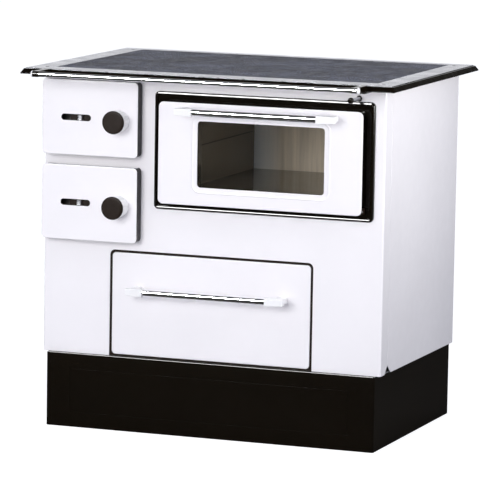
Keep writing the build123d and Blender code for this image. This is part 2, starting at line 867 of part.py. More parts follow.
def door_latch(door_z):
    """Spindle through the door, with a tongue that turns behind the frame's lip."""
    x, z = knob_axis(door_z)
    front = -door_stand_off - fit_gap - knob_length + 8
    tongue_front = frame_back + thermal_gap
    spindle = round_y(x, z, front, tongue_front + tongue_thickness, spindle_radius)
    tongue = block(
        x - tongue_width / 2, x + tongue_width / 2, tongue_front, tongue_front + tongue_thickness,
        z - tongue_width / 2, z - tongue_width / 2 + tongue_length,
    )
    return spindle + tongue


# ------------------------------------------------------------------ firebox
def firebox_shell():
    wall = firebox_wall
    low = ash_door_z - frame_opening_height / 2 - frame_lip - frame_flange
    shell = block(
        firebox_left, firebox_right, firebox_front, firebox_back, firebox_floor_z - wall, ledge_low_z
    )
    shell += block(firebox_left, firebox_right, firebox_front, firebox_front + wall, low, firebox_floor_z)
    inner_left = firebox_left + wall
    inner_right = firebox_right - wall
    inner_front = firebox_front + wall
    inner_back = firebox_back - wall
    shell -= block(
        inner_left, inner_right, inner_front, inner_back, firebox_floor_z, grate_shelf_z - wall
    )
    shell -= block(inner_left, inner_right, inner_front, inner_back, grate_shelf_z, ledge_low_z + 1)
    middle_x = (inner_left + inner_right) / 2
    middle_y = (inner_front + inner_back) / 2
    shell -= block(
        middle_x - grate_opening_width / 2, middle_x + grate_opening_width / 2,
        middle_y - grate_opening_depth / 2, middle_y + grate_opening_depth / 2,
        grate_shelf_z - 2 * wall, grate_shelf_z + 1,
    )
    for door_z in (fire_door_z, ash_door_z):
        shell -= block(
            door_middle_x - frame_opening_width / 2, door_middle_x + frame_opening_width / 2 + latch_room,
            firebox_front - 1, inner_front + 1,
            door_z - frame_opening_height / 2, door_z + frame_opening_height / 2,
        )
    shell -= block(
        inner_right - 1, firebox_right + 1, inner_front + 40, inner_back - 25, brick_top_z + wall,
        ledge_low_z + 1
    )
    return shell


def firebricks():
    """Loose fireclay bricks: a row on each side, one at the back and one under the fire door."""
    wall = firebox_wall
    left = firebox_left + wall
    right = firebox_right - wall
    front = firebox_front + wall
    back = firebox_back - wall
    low = grate_shelf_z
    thick = brick_thickness
    length = (back - front - thick) / bricks_per_side
    bricks = []
    for number in range(bricks_per_side):
        start = front + thick + number * length + brick_joint
        end = start + length - brick_joint
        if number == bricks_per_side - 1:
            end = back
        bricks.append(block(left, left + thick, start, end, low, brick_top_z))
        bricks.append(block(right - thick, right, start, end, low, brick_top_z))
    inner_left = left + thick + brick_joint
    inner_right = right - thick - brick_joint
    bricks.append(block(inner_left, inner_right, back - thick, back, low, brick_top_z))
    sill = fire_door_z - frame_opening_height / 2 - 2
    bricks.append(block(left, right, front, front + thick, low, sill))
    return group(bricks)


def grate_middle():
    middle_x = (firebox_left + firebox_right) / 2
    middle_y = (firebox_front + firebox_back) / 2
    return middle_x, middle_y


def fire_grate():
    """Cast grate that lies over the shelf's opening."""
    middle_x, middle_y = grate_middle()
    half_x = grate_opening_width / 2 + grate_bearing
    half_y = grate_opening_depth / 2 + grate_bearing
    grate = block(
        middle_x - half_x, middle_x + half_x, middle_y - half_y, middle_y + half_y,
        grate_shelf_z, grate_shelf_z + grate_thickness,
    )
    slots = grate_bars - 1
    pitch = grate_opening_width / slots
    for number in range(slots):
        slot_x = middle_x - grate_opening_width / 2 + pitch * (number + 0.5)
        for side in (-1, 1):
            near = middle_y + side * 8
            far = middle_y + side * (grate_opening_depth / 2 - 8)
            grate -= block(
                slot_x - grate_slot_width / 2, slot_x + grate_slot_width / 2, *sorted((near, far)),
                grate_shelf_z - 1, grate_shelf_z + grate_thickness + 1,
            )
    return grate


def ash_pan():
    """Trough folded from one sheet, with a plate welded on at each side."""
    half_width = frame_opening_width / 2 - ash_pan_side_play
    left = door_middle_x - half_width
    right = door_middle_x + half_width
    front = firebox_front + firebox_wall + ash_pan_front_gap
    back = firebox_back - firebox_wall - ash_pan_back_gap
    low = firebox_floor_z
    high = low + ash_pan_height
    thin = ash_pan_sheet
    trough = block(left + thin, right - thin, front, back, low, high)
    trough -= block(left, right, front + thin, back - thin, low + thin, high + 1)
    left_end = block(left, left + thin, front, back, low, high)
    right_end = block(right - thin, right, front, back, low, high)
    return group([trough, left_end, right_end])


def ash_pan_bail():
    """Flat loop on the pan's front, for the hook that pulls it."""
    front = firebox_front + firebox_wall + ash_pan_front_gap
    grip_low = firebox_floor_z + ash_pan_height - ash_pan_grip_drop
    grip_high = grip_low + ash_pan_grip_height
    half_grip = ash_pan_grip / 2
    bar = ash_pan_grip_bar
    x = door_middle_x
    bail = block(x - half_grip, x + half_grip, front - ash_pan_grip_depth, front, grip_low, grip_high)
    return bail - block(
        x - half_grip + bar, x + half_grip - bar, front - ash_pan_grip_depth + bar, front + 1,
        grip_low - 1, grip_high + 1
    )


# ------------------------------------------------------------------ gas ways, damper and flue
def gas_casing():
    """Steel box round the oven that leads the smoke over, beside and under it."""
    front = firebox_front + sheet
    left = firebox_right
    casing = block(left, gas_right, front, front + sheet, gas_floor_z, ledge_low_z)
    casing += block(gas_right - sheet, gas_right, front, gas_back, gas_floor_z, ledge_low_z)
    casing += block(left, gas_right, gas_back - sheet, gas_back, gas_floor_z, ledge_low_z)
    casing += block(gas_left, gas_right, front, gas_back, gas_floor_z, gas_floor_z + sheet)
    bridge_z = brick_top_z
    casing += block(gas_left, gas_left + sheet, front, gas_back, gas_floor_z, bridge_z + sheet)
    casing += block(left, gas_left, front, gas_back, bridge_z, bridge_z + sheet)
    wall = oven_wall
    casing -= block(
        oven_left - wall, oven_right + wall, front - 1, front + sheet + 1, oven_floor_z - wall,
        oven_top_z + wall
    )
    casing -= round_y(flue_x, flue_z, gas_back - 2 * sheet, gas_back + 1, flue_radius - flue_wall)
    casing -= round_y(damper_x, damper_z, front - 1, front + sheet + 1, damper_rod_radius + 1)
    return casing


def gas_baffle():
    """Lid over the rising way behind the oven, and a wing that closes its right-hand end."""
    lid_low = oven_top_z + oven_wall
    lid = block(
        gas_left + sheet, gas_right - sheet, oven_back, gas_back - sheet, lid_low, lid_low + sheet
    )
    hole_middle = (oven_back + gas_back - sheet) / 2
    lid -= block(
        damper_x - damper_hole_width / 2, damper_x + damper_hole_width / 2,
        hole_middle - damper_hole_depth / 2, hole_middle + damper_hole_depth / 2, lid_low - 1,
        lid_low + sheet + 1,
    )
    wing = block(
        oven_right + oven_wall, gas_right - sheet, oven_back, oven_back + sheet, gas_floor_z + sheet,
        lid_low
    )
    return lid + wing


def damper_flap():
    lid_top = oven_top_z + oven_wall + sheet
    low = lid_top + fit_gap
    hole_middle = (oven_back + gas_back - sheet) / 2
    half_x = damper_hole_width / 2 + damper_flap_lap
    half_y = damper_hole_depth / 2 + damper_flap_lap - 1
    flap = block(
        damper_x - half_x, damper_x + half_x, hole_middle - half_y, hole_middle + half_y, low, low + sheet
    )
    half_lug = damper_lug_width / 2
    lug = block(
        damper_x - half_lug, damper_x + half_lug, hole_middle - half_lug, hole_middle + half_lug,
        low + sheet, damper_z + half_lug,
    )
    lug -= round_y(
        damper_x, damper_z, hole_middle - half_lug - 1, hole_middle + half_lug + 1, damper_rod_radius
    )
    return flap + lug


def damper_rod():
    hole_middle = (oven_back + gas_back - sheet) / 2
    return round_y(
        damper_x, damper_z, -damper_rod_front, hole_middle + damper_lug_width / 2, damper_rod_radius
    )


def damper_knob():
    back = -damper_rod_front
    front = back - damper_knob_length
    radius = damper_knob_radius
    profile = make_face([
        Polyline((0, front), (0, back), (radius * 0.62, back)),
        ThreePointArc((radius * 0.62, back), (radius, (front + back) / 2), (radius * 0.62, front)),
        Line((radius * 0.62, front), (0, front)),
    ])
    return Pos(damper_x, 0, damper_z) * revolve(profile, Axis.Y, 360)


def damper_bush():
    bush = round_y(damper_x, damper_z, -damper_bush_flange, 0, damper_bush_radius)
    bush += round_y(damper_x, damper_z, 0, firebox_front, damper_bush_neck)
    return bush - round_y(
        damper_x, damper_z, -damper_bush_flange - 1, firebox_front + 1,
        damper_rod_radius + damper_rod_clearance
    )


def flue_collar():
    flange_thickness = flue_wall
    tube = round_y(flue_x, flue_z, body_depth, body_depth + flue_reach, flue_radius)
    tube += round_y(flue_x, flue_z, gas_back, body_depth, flue_radius + flue_shoulder)
    flange = round_y(flue_x, flue_z, gas_back, gas_back + flange_thickness, flue_flange_radius)
    bore = round_y(flue_x, flue_z, gas_back - 1, body_depth + flue_reach + 1, flue_radius - flue_wall)
    return tube + flange - bore


# ------------------------------------------------------------------ oven
def oven_box():
    wall = oven_wall
    box = block(oven_left - wall, oven_right + wall, 0, oven_back, oven_floor_z - wall, oven_top_z + wall)
    box -= block(oven_left, oven_right, -1, oven_depth, oven_floor_z, oven_top_z)
    runner_low = oven_floor_z + oven_runner_height
    for side_x, reach in ((oven_left, oven_runner_width), (oven_right, -oven_runner_width)):
        box += block(
            *sorted((side_x, side_x + reach)), 20, oven_depth - 20, runner_low, runner_low + wall
        )
    return box


def oven_surround():
    """Black frame round the oven mouth, with a bead along its outer edge."""
    left = surround_left
    right = surround_right
    low = surround_low_z
    high = surround_high_z
    bead = surround_bead
    flat = facing_block(left, right, -surround_sheet, 0, low, high, surround_radius)
    raised = facing_block(left, right, -bead, 0, low, high, surround_radius)
    raised -= facing_block(
        left + bead, right - bead, -bead - 1, 1, low + bead, high - bead, surround_radius - bead + 2
    )
    front_edges = raised.faces().sort_by(Axis.Y)[0].edges()
    raised = fillet(front_edges, bead * 0.4)
    frame = flat + raised
    return frame - block(oven_left, oven_right, -bead - 1, 1, oven_floor_z, oven_top_z)


def oven_seal():
    """Rope gasket round the oven mouth."""
    grow = seal_width
    ring = block(
        oven_left - grow, oven_right + grow, -surround_sheet - seal_thickness, -surround_sheet,
        oven_floor_z - grow, oven_top_z + grow,
    )
    ring -= block(oven_left, oven_right, -surround_bead - 1, 1, oven_floor_z, oven_top_z)
    return ring


def oven_hinge_brackets():
    """Two lugs on the surround that hold the drop-down door's pins."""
    brackets = []
    for edge, inward in ((oven_door_left, 1), (oven_door_right, -1)):
        x0, x1 = sorted((edge + inward, edge + inward * (1 + oven_lug_thickness)))
        eye = round_x(-oven_hinge_depth, oven_hinge_z, x0, x1, oven_lug_radius)
        shank = block(
            x0, x1, -oven_hinge_depth, -surround_sheet, oven_hinge_z - oven_lug_radius,
            oven_hinge_z + oven_lug_radius
        )
        lug = eye + shank
        lug -= round_x(
            -oven_hinge_depth, oven_hinge_z, x0 - 1, x1 + 1, hinge_pin_radius + hinge_pin_clearance
        )
        brackets.append(lug)
    return group(brackets)


def oven_door_plate():
    """White enamelled face of the oven door, with a pressed bead round the window."""
    plate = facing_block(
        oven_door_left, oven_door_right, -door_stand_off, door_plate_back, oven_door_low_z,
        oven_door_high_z,
        oven_door_radius,
    )
    plate = soften(plate, Axis.Y, False, 1.8)
    offset = window_bead_offset
    width = window_bead_width
    ridge = facing_block(
        window_left - offset - width, window_right + offset + width,
        -door_stand_off - window_bead_height, -door_stand_off + 1,
        window_low_z - offset - width, window_high_z + offset + width, window_radius + offset + width,
    )
    ridge -= facing_block(
        window_left - offset, window_right + offset, -door_stand_off - 2, -door_stand_off + 2,
        window_low_z - offset, window_high_z + offset, window_radius + offset,
    )
    plate += ridge
    plate -= facing_block(
        window_left, window_right, -door_stand_off - 3, 0, window_low_z, window_high_z, window_radius
    )
    return plate


def oven_door_casing():
    """Black sheet body behind the enamelled face: a tray with a window duct."""
    left = oven_door_left + oven_casing_margin_side
    right = oven_door_right - oven_casing_margin_side
    low = oven_door_low_z + oven_casing_margin_end
    high = oven_door_high_z - oven_casing_margin_end
    front = door_plate_back
    back = -oven_casing_back
    thin = oven_casing_sheet
    tray = facing_block(left, right, front, back, low, high, 6)
    tray -= facing_block(left + thin, right - thin, front - 1, back - thin, low + thin, high - thin, 4)
    duct_front = front + glass_thickness
    tray += block(
        window_left - thin, window_right + thin, duct_front, back, window_low_z - thin,
        window_high_z + thin
    )
    tray -= block(window_left, window_right, duct_front - 1, back + 1, window_low_z, window_high_z)
    for x0, x1 in pin_spans():
        tray += round_x(
            -oven_hinge_depth, oven_hinge_z, *pin_boss_span(x0, x1, left, right), hinge_pin_radius + 2
        )
    for x0, x1 in pin_spans():
        tray -= round_x(-oven_hinge_depth, oven_hinge_z, x0, x1, hinge_pin_radius)
    return tray


def pin_spans():
    """X ranges of the two oven hinge pins, left then right."""
    left_start = oven_door_left + 1.5
    right_end = oven_door_right - 1.5
    return [(left_start, left_start + oven_pin_length), (right_end - oven_pin_length, right_end)]


def pin_boss_span(x0, x1, left, right):
    """The stretch of a pin that lies inside the door casing."""
    return max(x0, left + 0.5), min(x1, right - 0.5)


def oven_hinge_pins():
    return group(
        round_x(-oven_hinge_depth, oven_hinge_z, x0, x1, hinge_pin_radius) for x0, x1 in pin_spans()
    )


def oven_glass():
    lap = glass_lap
    return block(
        window_left - lap, window_right + lap, door_plate_back, door_plate_back + glass_thickness,
        window_low_z - lap, window_high_z + lap,
    )


# ------------------------------------------------------------------ handles
def handle_bar(middle_x, z, reach):
    half = handle_chrome / 2 + handle_socket
    return round_x(-reach, z, middle_x - half, middle_x + half, handle_radius)


def handle_ends(middle_x, z, reach, face_y):
    """Two white moulded ends: each holds the bar and stands on the panel by a narrower foot."""
    ends = []
    radius = handle_end_height / 2
    half_height = radius
    front = -reach - radius
    for side in (-1, 1):
        near = middle_x + side * handle_chrome / 2
        far = near + side * handle_end_length
        foot_far = far - side * handle_foot_inset
        foot_near = foot_far - side * handle_foot_width
        waist = -reach + radius
        outline = make_face([
            Polyline((near, waist), (near, front), (far - side * radius, front)),
            ThreePointArc(
                (far - side * radius, front), (far - side * radius * 0.29, front + radius * 0.29), (
                    far, front + radius
                )
            ),
            Polyline((far, front + radius), (foot_far, face_y), (foot_near, face_y)),
            ThreePointArc(
                (foot_near, face_y),
                ((near + foot_near) / 2 + side * 3, (waist + face_y) / 2 - 1),
                (near, waist),
            ),
        ])
        end = extrude(Pos(0, 0, z - half_height) * outline, amount=2 * half_height)
        long_edges = [
            edge for edge in end.edges()
            if edge.length > 5 and edge.geom_type != GeomType.CIRCLE and abs(edge.center().Y - face_y) > 0.5
            and abs(edge.tangent_at(0.5).Z) < 0.1 and abs(edge.center().X - near) > 1
        ]
        end = fillet(long_edges, 4.0) if long_edges else end
        end -= round_x(-reach, z, *sorted((near - side, near + side * handle_socket)), handle_radius)
        ends.append(end)
    return group(ends)


# ------------------------------------------------------------------ drawer
def drawer_front():
    half = drawer_width / 2
    front = facing_block(-half, half, 0, drawer_front_depth, drawer_low_z, drawer_high_z, drawer_radius)
    front = soften(front, Axis.Y, False, 1.5)
    hollow = facing_block(
        -half + sheet, half - sheet, sheet, drawer_front_depth + 1,
        drawer_low_z + sheet, drawer_high_z - sheet, drawer_radius - sheet,
    )
    return front - hollow


def drawer_box():
    half = drawer_width / 2 - drawer_box_margin
    low = drawer_box_low_z
    high = drawer_box_high_z
    thin = drawer_sheet
    start = sheet
    back = drawer_box_back
    box = block(-half, half, start, back, low, high)
    return box - block(-half + thin, half - thin, start + thin, back - thin, low + thin, high + 1)


def drawer_runner(side):
    """Angle that the drawer slides on, standing on the base pan."""
    half = drawer_width / 2 - drawer_box_margin
    wall_near = side * (half + fit_gap)
    wall_far = wall_near + side * runner_sheet
    front = drawer_front_depth + 3
    back = drawer_box_back + 10
    floor = plinth_height + sheet
    ledge_top = drawer_box_low_z - fit_gap
    ledge_far = wall_near - side * runner_ledge
    runner = block(*sorted((wall_near, wall_far)), front, back, floor, floor + runner_height)
    runner += block(*sorted((wall_near, ledge_far)), front, back, ledge_top - runner_sheet, ledge_top)
    foot_far = wall_far + side * runner_ledge
    runner += block(*sorted((wall_far, foot_far)), front, back, floor, floor + runner_sheet)
    return runner


# ------------------------------------------------------------------ assembly
def all_pieces():
    pieces = {
        "plinth": plinth(),
        "base_pan": base_pan(),
        "front_panel": front_panel(),
        "side_panel_left": side_panel(-1),
        "side_panel_right": side_panel(1),
        "back_panel": back_panel(),
        "back_screws": back_screws(),
        "hob_frame": hob_frame(),
        "hob_trim": hob_trim(),
        "hob_screws": hob_screws(),
        "cooking_plate": cooking_plate(),
        "towel_rail": towel_rail(),
        "rail_brackets": rail_brackets(),
        "rail_caps": rail_caps(),
        "firebox_shell": firebox_shell(),
        "firebricks": firebricks(),
        "fire_grate": fire_grate(),
        "ash_pan": ash_pan(),
        "ash_pan_bail": ash_pan_bail(),
        "gas_casing": gas_casing(),
        "gas_baffle": gas_baffle(),
        "flue_collar": flue_collar(),
        "damper_bush": damper_bush(),
        "damper_rod": damper_rod(),
        "damper_knob": damper_knob(),
        "damper_flap": damper_flap(),
        "oven_box": oven_box(),
        "oven_surround": oven_surround(),
        "oven_seal": oven_seal(),
        "oven_hinge_brackets": oven_hinge_brackets(),
        "oven_door_plate": oven_door_plate(),
        "oven_door_casing": oven_door_casing(),
        "oven_glass": oven_glass(),
        "oven_hinge_pins": oven_hinge_pins(),
        "oven_handle_bar": handle_bar(oven_middle_x, oven_handle_z, oven_handle_reach),
        "oven_handle_ends": handle_ends(oven_middle_x, oven_handle_z, oven_handle_reach, -door_stand_off),
        "drawer_front": drawer_front(),
        "drawer_box": drawer_box(),
        "drawer_handle_bar": handle_bar(0, drawer_handle_z, drawer_handle_reach),
        "drawer_handle_ends": handle_ends(0, drawer_handle_z, drawer_handle_reach, 0),
        "drawer_runner_left": drawer_runner(-1),
        "drawer_runner_right": drawer_runner(1),
    }
    for name, door_z in (("fire", fire_door_z), ("ash", ash_door_z)):
        pieces[name + "_door_frame"] = door_frame(door_z)
        pieces[name + "_door_plate"] = door_plate(door_z)
        pieces[name + "_door_casting"] = door_casting(door_z)
        pieces[name + "_door_shield"] = door_shield(door_z)
        pieces[name + "_hinge_pins"] = hinge_pins(door_z)
        pieces[name + "_air_slide"] = air_slide(door_z)
        pieces[name + "_knob"] = door_knob(door_z)
        pieces[name + "_knob_cap"] = knob_cap(door_z)
        pieces[name + "_latch"] = door_latch(door_z)
    return pieces


os.makedirs("parts", exist_ok=True)
for node, piece in all_pieces().items():
    solids = [Pos(0, origin_shift, 0) * solid for solid in piece.solids()]
    export_step(solids[0] if len(solids) == 1 else Compound(solids), "parts/" + node + ".step")
print("origin shift along Y:", origin_shift)
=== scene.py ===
"""Wood-burning cookstove, dressed for a studio picture around its CAD frame.

Metres, +Z up, +X to the right of someone who faces the stove, +Y from front to back.
Run as a script: every operator below builds one piece, or one group of like pieces.
"""

import json
import math
from contextlib import contextmanager

import bmesh
import bpy
from bpy.props import FloatProperty, FloatVectorProperty, IntProperty, PointerProperty
from bpy.types import Operator, Panel, PropertyGroup
from mathutils import Matrix, Vector


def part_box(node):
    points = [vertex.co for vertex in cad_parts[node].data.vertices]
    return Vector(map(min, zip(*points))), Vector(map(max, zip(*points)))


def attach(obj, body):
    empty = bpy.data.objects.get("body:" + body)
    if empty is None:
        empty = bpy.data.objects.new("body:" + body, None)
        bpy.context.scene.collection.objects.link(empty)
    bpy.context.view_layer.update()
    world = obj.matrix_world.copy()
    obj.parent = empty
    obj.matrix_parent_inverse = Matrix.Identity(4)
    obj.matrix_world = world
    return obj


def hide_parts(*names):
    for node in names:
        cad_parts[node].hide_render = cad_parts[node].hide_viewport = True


bl_info = {
    "name": "Wood cookstove",
    "version": (1, 0, 0),
    "blender": (4, 5, 0),
    "location": "View3D > Sidebar > Cookstove",
    "description": "Models the visible pieces of a wood-burning cookstove around its CAD frame",
    "category": "Object",
}

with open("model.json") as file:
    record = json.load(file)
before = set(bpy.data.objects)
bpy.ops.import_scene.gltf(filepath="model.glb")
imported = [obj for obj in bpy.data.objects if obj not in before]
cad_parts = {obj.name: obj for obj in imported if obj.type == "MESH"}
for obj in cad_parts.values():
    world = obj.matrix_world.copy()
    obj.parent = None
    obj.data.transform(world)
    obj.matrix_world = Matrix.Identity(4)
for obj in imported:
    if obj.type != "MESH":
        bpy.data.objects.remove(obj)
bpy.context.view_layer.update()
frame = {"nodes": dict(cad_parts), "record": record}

MM = 0.001
PAST = 10 * MM  # how far a cutter reaches past what it cuts
TOUCH = 0.01 * MM  # two places this near count as one
X_AXIS = Vector((1, 0, 0))
Y_AXIS = Vector((0, 1, 0))
Z_AXIS = Vector((0, 0, 1))
materials = {}


# ------------------------------------------------------------------ settings
def colour_setting(name, description, default):
    """A colour that a user may change."""
    return FloatVectorProperty(
        name=name, description=description, default=default, size=3, min=0, max=1, subtype="COLOR"
    )


def length_setting(name, description, millimetres):
    """A length that a user may change."""
    return FloatProperty(
        name=name, description=description, default=millimetres * MM, min=0, unit="LENGTH", precision=4
    )


def angle_setting(name, description, degrees):
    """An angle that a user may change."""
    return FloatProperty(name=name, description=description, default=math.radians(degrees), subtype="ANGLE")


def power_setting(name, description, watts):
    """A lamp's power that a user may change."""
    return FloatProperty(name=name, description=description, default=watts, min=0, unit="POWER")


class CookstoveColours(PropertyGroup):
    """Colours of the stove's finishes."""

    white_enamel: colour_setting("White enamel", "Doors, drawer and casing", (0.925, 0.895, 0.92))
    black_enamel: colour_setting("Black enamel", "Plinth, hob and surround", (0.0050, 0.0034, 0.0018))
    plate_iron: colour_setting("Plate iron", "Ground of the cooking plate", (0.020, 0.022, 0.038))
    plate_grain: colour_setting("Plate grain", "Light grains in the cooking plate", (0.58, 0.63, 0.88))
    band_steel: colour_setting("Band steel", "Polished band round the plate", (0.80, 0.81, 0.86))
    chrome: colour_setting("Chrome", "Rail and handle bars", (0.86, 0.86, 0.87))
    white_moulding: colour_setting("White moulding", "Handle ends and knob grips", (0.91, 0.90, 0.91))
    black_moulding: colour_setting("Black moulding", "Knob faces and linings", (0.012, 0.006, 0.0035))
    cast_iron: colour_setting("Cast iron", "Door bodies, frames and grate", (0.026, 0.022, 0.025))
    dark_sheet: colour_setting("Dark sheet", "Firebox, smoke casing and flue", (0.034, 0.032, 0.030))
    oven_enamel: colour_setting("Oven enamel", "Inside of the oven", (0.73, 0.64, 0.51))
    # Painted light: a pale stripe painted on the oven's walls beside its left wall.
    oven_painted_light: colour_setting("Oven bloom", "Paler enamel by the oven's left wall", (0.97, 1.0, 1.0))
    zinc: colour_setting("Zinc", "Drawer box, runners and back", (0.50, 0.515, 0.53))
    firebrick: colour_setting("Firebrick", "Lining of the firebox", (0.50, 0.36, 0.23))
    rope: colour_setting("Rope", "Gasket round the oven mouth", (0.42, 0.40, 0.36))


class CookstoveSizes(PropertyGroup):
    """Sizes of the shaped details."""

    sheet: length_setting("Sheet", "Thickness of the casing sheets", 2)
    casing_corner: length_setting("Casing corner", "Radius of the bent corners", 4)
    sheet_edge: length_setting("Sheet edge", "Rounding of cut enamelled edges", 0.5)
    door_corner: length_setting("Door corner", "Corner radius of the fire and ash doors", 10)
    door_edge: length_setting("Door edge", "Rounding of the doors' front edges", 1.8)
    oven_door_corner: length_setting("Oven door corner", "Corner radius of the oven door", 12)
    bead_radius: length_setting("Bead rounding", "Outer rounding of the surround's bead", 4.8)
    handle_rounding: length_setting("Handle rounding", "Rounding of the handle ends", 6.5)
    cast_edge: length_setting("Cast edge", "Rounding of cast iron edges", 1.2)
    knob_flats: IntProperty(
        name="Knob flats", description="Flats round a knob's grip", default=14, min=6, max=48
    )


class CookstoveStage(PropertyGroup):
    """Camera and lights."""

    lens: FloatProperty(
        name="Lens", description="Focal length", default=273.58, min=1, subtype="DISTANCE_CAMERA"
    )
    place: FloatVectorProperty(
        name="Camera place", description="Where the camera stands", default=(3.1499, -8.36135, 1.6717),
        size=3, unit="LENGTH", subtype="TRANSLATION", precision=4,
    )
    yaw: angle_setting("Yaw", "Turn of the view", 20.5831)
    pitch: angle_setting("Pitch", "Downward tilt", 8.0113)
    roll: angle_setting("Roll", "Roll of the view", 0.9733)
    key_power: power_setting("Key power", "Front lamp", 74)
    side_power: power_setting("Side power", "Lamp on the right", 5.7)
    sparkle_power: power_setting("Sparkle power", "Strip lamp for glints", 360)
    sky: colour_setting("Sky", "Soft light from all sides", (0.375, 0.40, 0.465))
    floor: colour_setting("Floor", "Pale studio floor", (0.62, 0.62, 0.63))


# ------------------------------------------------------------------ picking
def begin():
    """Leaves edit mode with nothing selected."""
    if bpy.context.object and bpy.context.object.mode != "OBJECT":
        bpy.ops.object.mode_set(mode="OBJECT")
    bpy.ops.object.select_all(action="DESELECT")


def activate(obj):
    """Makes obj the one selected and active object."""
    begin()
    obj.select_set(True)
    bpy.context.view_layer.objects.active = obj


@contextmanager
def picked(obj, kind="VERT", test=None):
    """Edit mode with the faces, edges or vertices selected that pass the test, or with all of them."""
    activate(obj)
    bpy.ops.object.mode_set(mode="EDIT")
    bpy.ops.mesh.select_mode(type=kind)
    bpy.ops.mesh.select_all(action="DESELECT" if test else "SELECT")
    if test:
        shape = bmesh.from_edit_mesh(obj.data)
        shape.normal_update()
        items = {"FACE": shape.faces, "EDGE": shape.edges, "VERT": shape.verts}[kind]
        hits = [item for item in items if test(item)]
        if not hits:
            raise RuntimeError(f"{obj.name}: no {kind.lower()} was found to work on")
        for item in hits:
            item.select_set(True)
        shape.select_flush_mode()
        bmesh.update_edit_mesh(obj.data)
    yield
    bpy.ops.object.mode_set(mode="OBJECT")


def faces_towards(direction):
    """Test for faces that look one way."""
    return lambda face: face.normal.dot(direction) >= 0.999


FRONT_FACES = faces_towards(-Y_AXIS)
TOP_FACES = faces_towards(Z_AXIS)


def edge_spot(edge):
    """The middle of an edge."""
    return (edge.verts[0].co + edge.verts[1].co) / 2


def edges_along(axis, test=None):
    """Test for straight edges that run along an axis."""

    def check(edge):
        run = edge.verts[1].co - edge.verts[0].co
        if run.length < 1e-6 or abs(run.normalized().dot(axis)) < 0.999:
            return False
        return test is None or test(edge_spot(edge))

    return check


def edges_across(axis, length=5 * MM):
    """Test for edges that reach at least this far along an axis, upright or slanted."""
    return lambda edge: abs((edge.verts[1].co - edge.verts[0].co).dot(axis)) > length


def lies_at(edge, depth):
    """True for an edge whose ends both lie at one depth from the front."""
    return all(abs(vert.co.y - depth) < TOUCH for vert in edge.verts)


# ------------------------------------------------------------------ modelling
def settle(obj, name):
    """Puts the object's place, turn and size into its mesh."""
    activate(obj)
    bpy.ops.object.transform_apply(location=True, rotation=True, scale=True)
    obj.name = name
    obj.data.name = name
    return obj


def add_block(name, low, high):
    """A box between two corners, the start of a sheet or a bar."""
    low, high = Vector(low), Vector(high)
    begin()
    bpy.ops.mesh.primitive_cube_add(size=1, location=(low + high) / 2)
    obj = bpy.context.active_object
    obj.scale = high - low
    return settle(obj, name)


def add_rod(name, middle, axis, start, end, radius, sides=48):
    """A cylinder through a point, between two places along an axis, the start of a turned piece."""
    ends = [Vector(middle), Vector(middle)]
    for spot, place in zip(ends, (start, end)):
        spot["XYZ".index(axis)] = place
    along = ends[1] - ends[0]
    begin()
    bpy.ops.mesh.primitive_cylinder_add(
        vertices=sides, radius=radius, depth=along.length, location=(ends[0] + ends[1]) / 2,
        rotation=along.to_track_quat("Z", "Y").to_euler(),
    )
    return settle(bpy.context.active_object, name)


def grown(low, high, x, y, z):
    """A box's two corners, each moved outwards along the axes."""
    return (low.x - x, low.y - y, low.z - z), (high.x + x, high.y + y, high.z + z)


def rounded_slab(name, low, high, axis, corner, segments=8):
    """A slab whose four edges along an axis are rounded."""
    slab = add_block(name, low, high)
    bevel_edges(slab, edges_along(axis), corner, segments)
    return slab


def face_slab(name, low, high, grow, front, back, corner, segments=8):
    """A rounded slab that faces the front, with a box's outline, grown, between two depths."""
    near, far = (low.x - grow, front, low.z - grow), (high.x + grow, back, high.z + grow)
    return rounded_slab(name, near, far, Y_AXIS, corner, segments)


def bevel(offset, segments):
    """Rounds what is selected."""
    bpy.ops.mesh.bevel(
        offset=offset, offset_type="OFFSET", segments=segments, affect="EDGES", clamp_overlap=True
    )


def bevel_edges(obj, test, offset, segments):
    """Rounds the edges that pass the test."""
    with picked(obj, "EDGE", test):
        bevel(offset, segments)


def bevel_face_rim(obj, test, offset, segments):
    """Rounds the outline of the faces that pass the test."""
    with picked(obj, "FACE", test):
        bpy.ops.mesh.region_to_loop()
        bevel(offset, segments)


def remove_faces(obj, test):
    with picked(obj, "FACE", test):
        bpy.ops.mesh.delete(type="FACE")


def extrude_faces(obj, test, move):
    with picked(obj, "FACE", test):
        bpy.ops.mesh.extrude_region_move(TRANSFORM_OT_translate={"value": tuple(move)})


def inset_faces(obj, test, thickness, depth=0.0, each=False):
    with picked(obj, "FACE", test):
        bpy.ops.mesh.inset(thickness=thickness, depth=depth, use_individual=each)


def resize_faces(obj, test, value, centre):
    """Scales the faces that pass the test about a centre."""
    with picked(obj, "FACE", test):
        bpy.ops.transform.resize(value=value, center_override=tuple(centre))


def slice_mesh(obj, axis, *places):
    """Adds a line of edges where a plane crosses the mesh, at each place along an axis."""
    for place in places:
        with picked(obj):
            bpy.ops.mesh.bisect(plane_co=tuple(axis * place), plane_no=tuple(axis))


def run_modifier(obj, kind, name, **settings):
    """Adds one modifier with its settings and applies it."""
    activate(obj)
    modifier = obj.modifiers.new(name, kind)
    for key, value in settings.items():
        setattr(modifier, key, value)
    bpy.ops.object.modifier_apply(modifier=modifier.name)


def carve(obj, cutter, operation="DIFFERENCE"):
    """Cuts the cutter's shape out of obj, or adds it, and removes the cutter."""
    run_modifier(obj, "BOOLEAN", "Cut", operation=operation, object=cutter, solver="EXACT")
    bpy.data.objects.remove(cutter)


def cut_block(obj, low, high):
    carve(obj, add_block("cut", low, high))


def join(pieces, name):
    """Makes one piece of several."""
    activate(pieces[0])
    for piece in pieces[1:]:
        piece.select_set(True)
    bpy.ops.object.join()
    return settle(pieces[0], name)


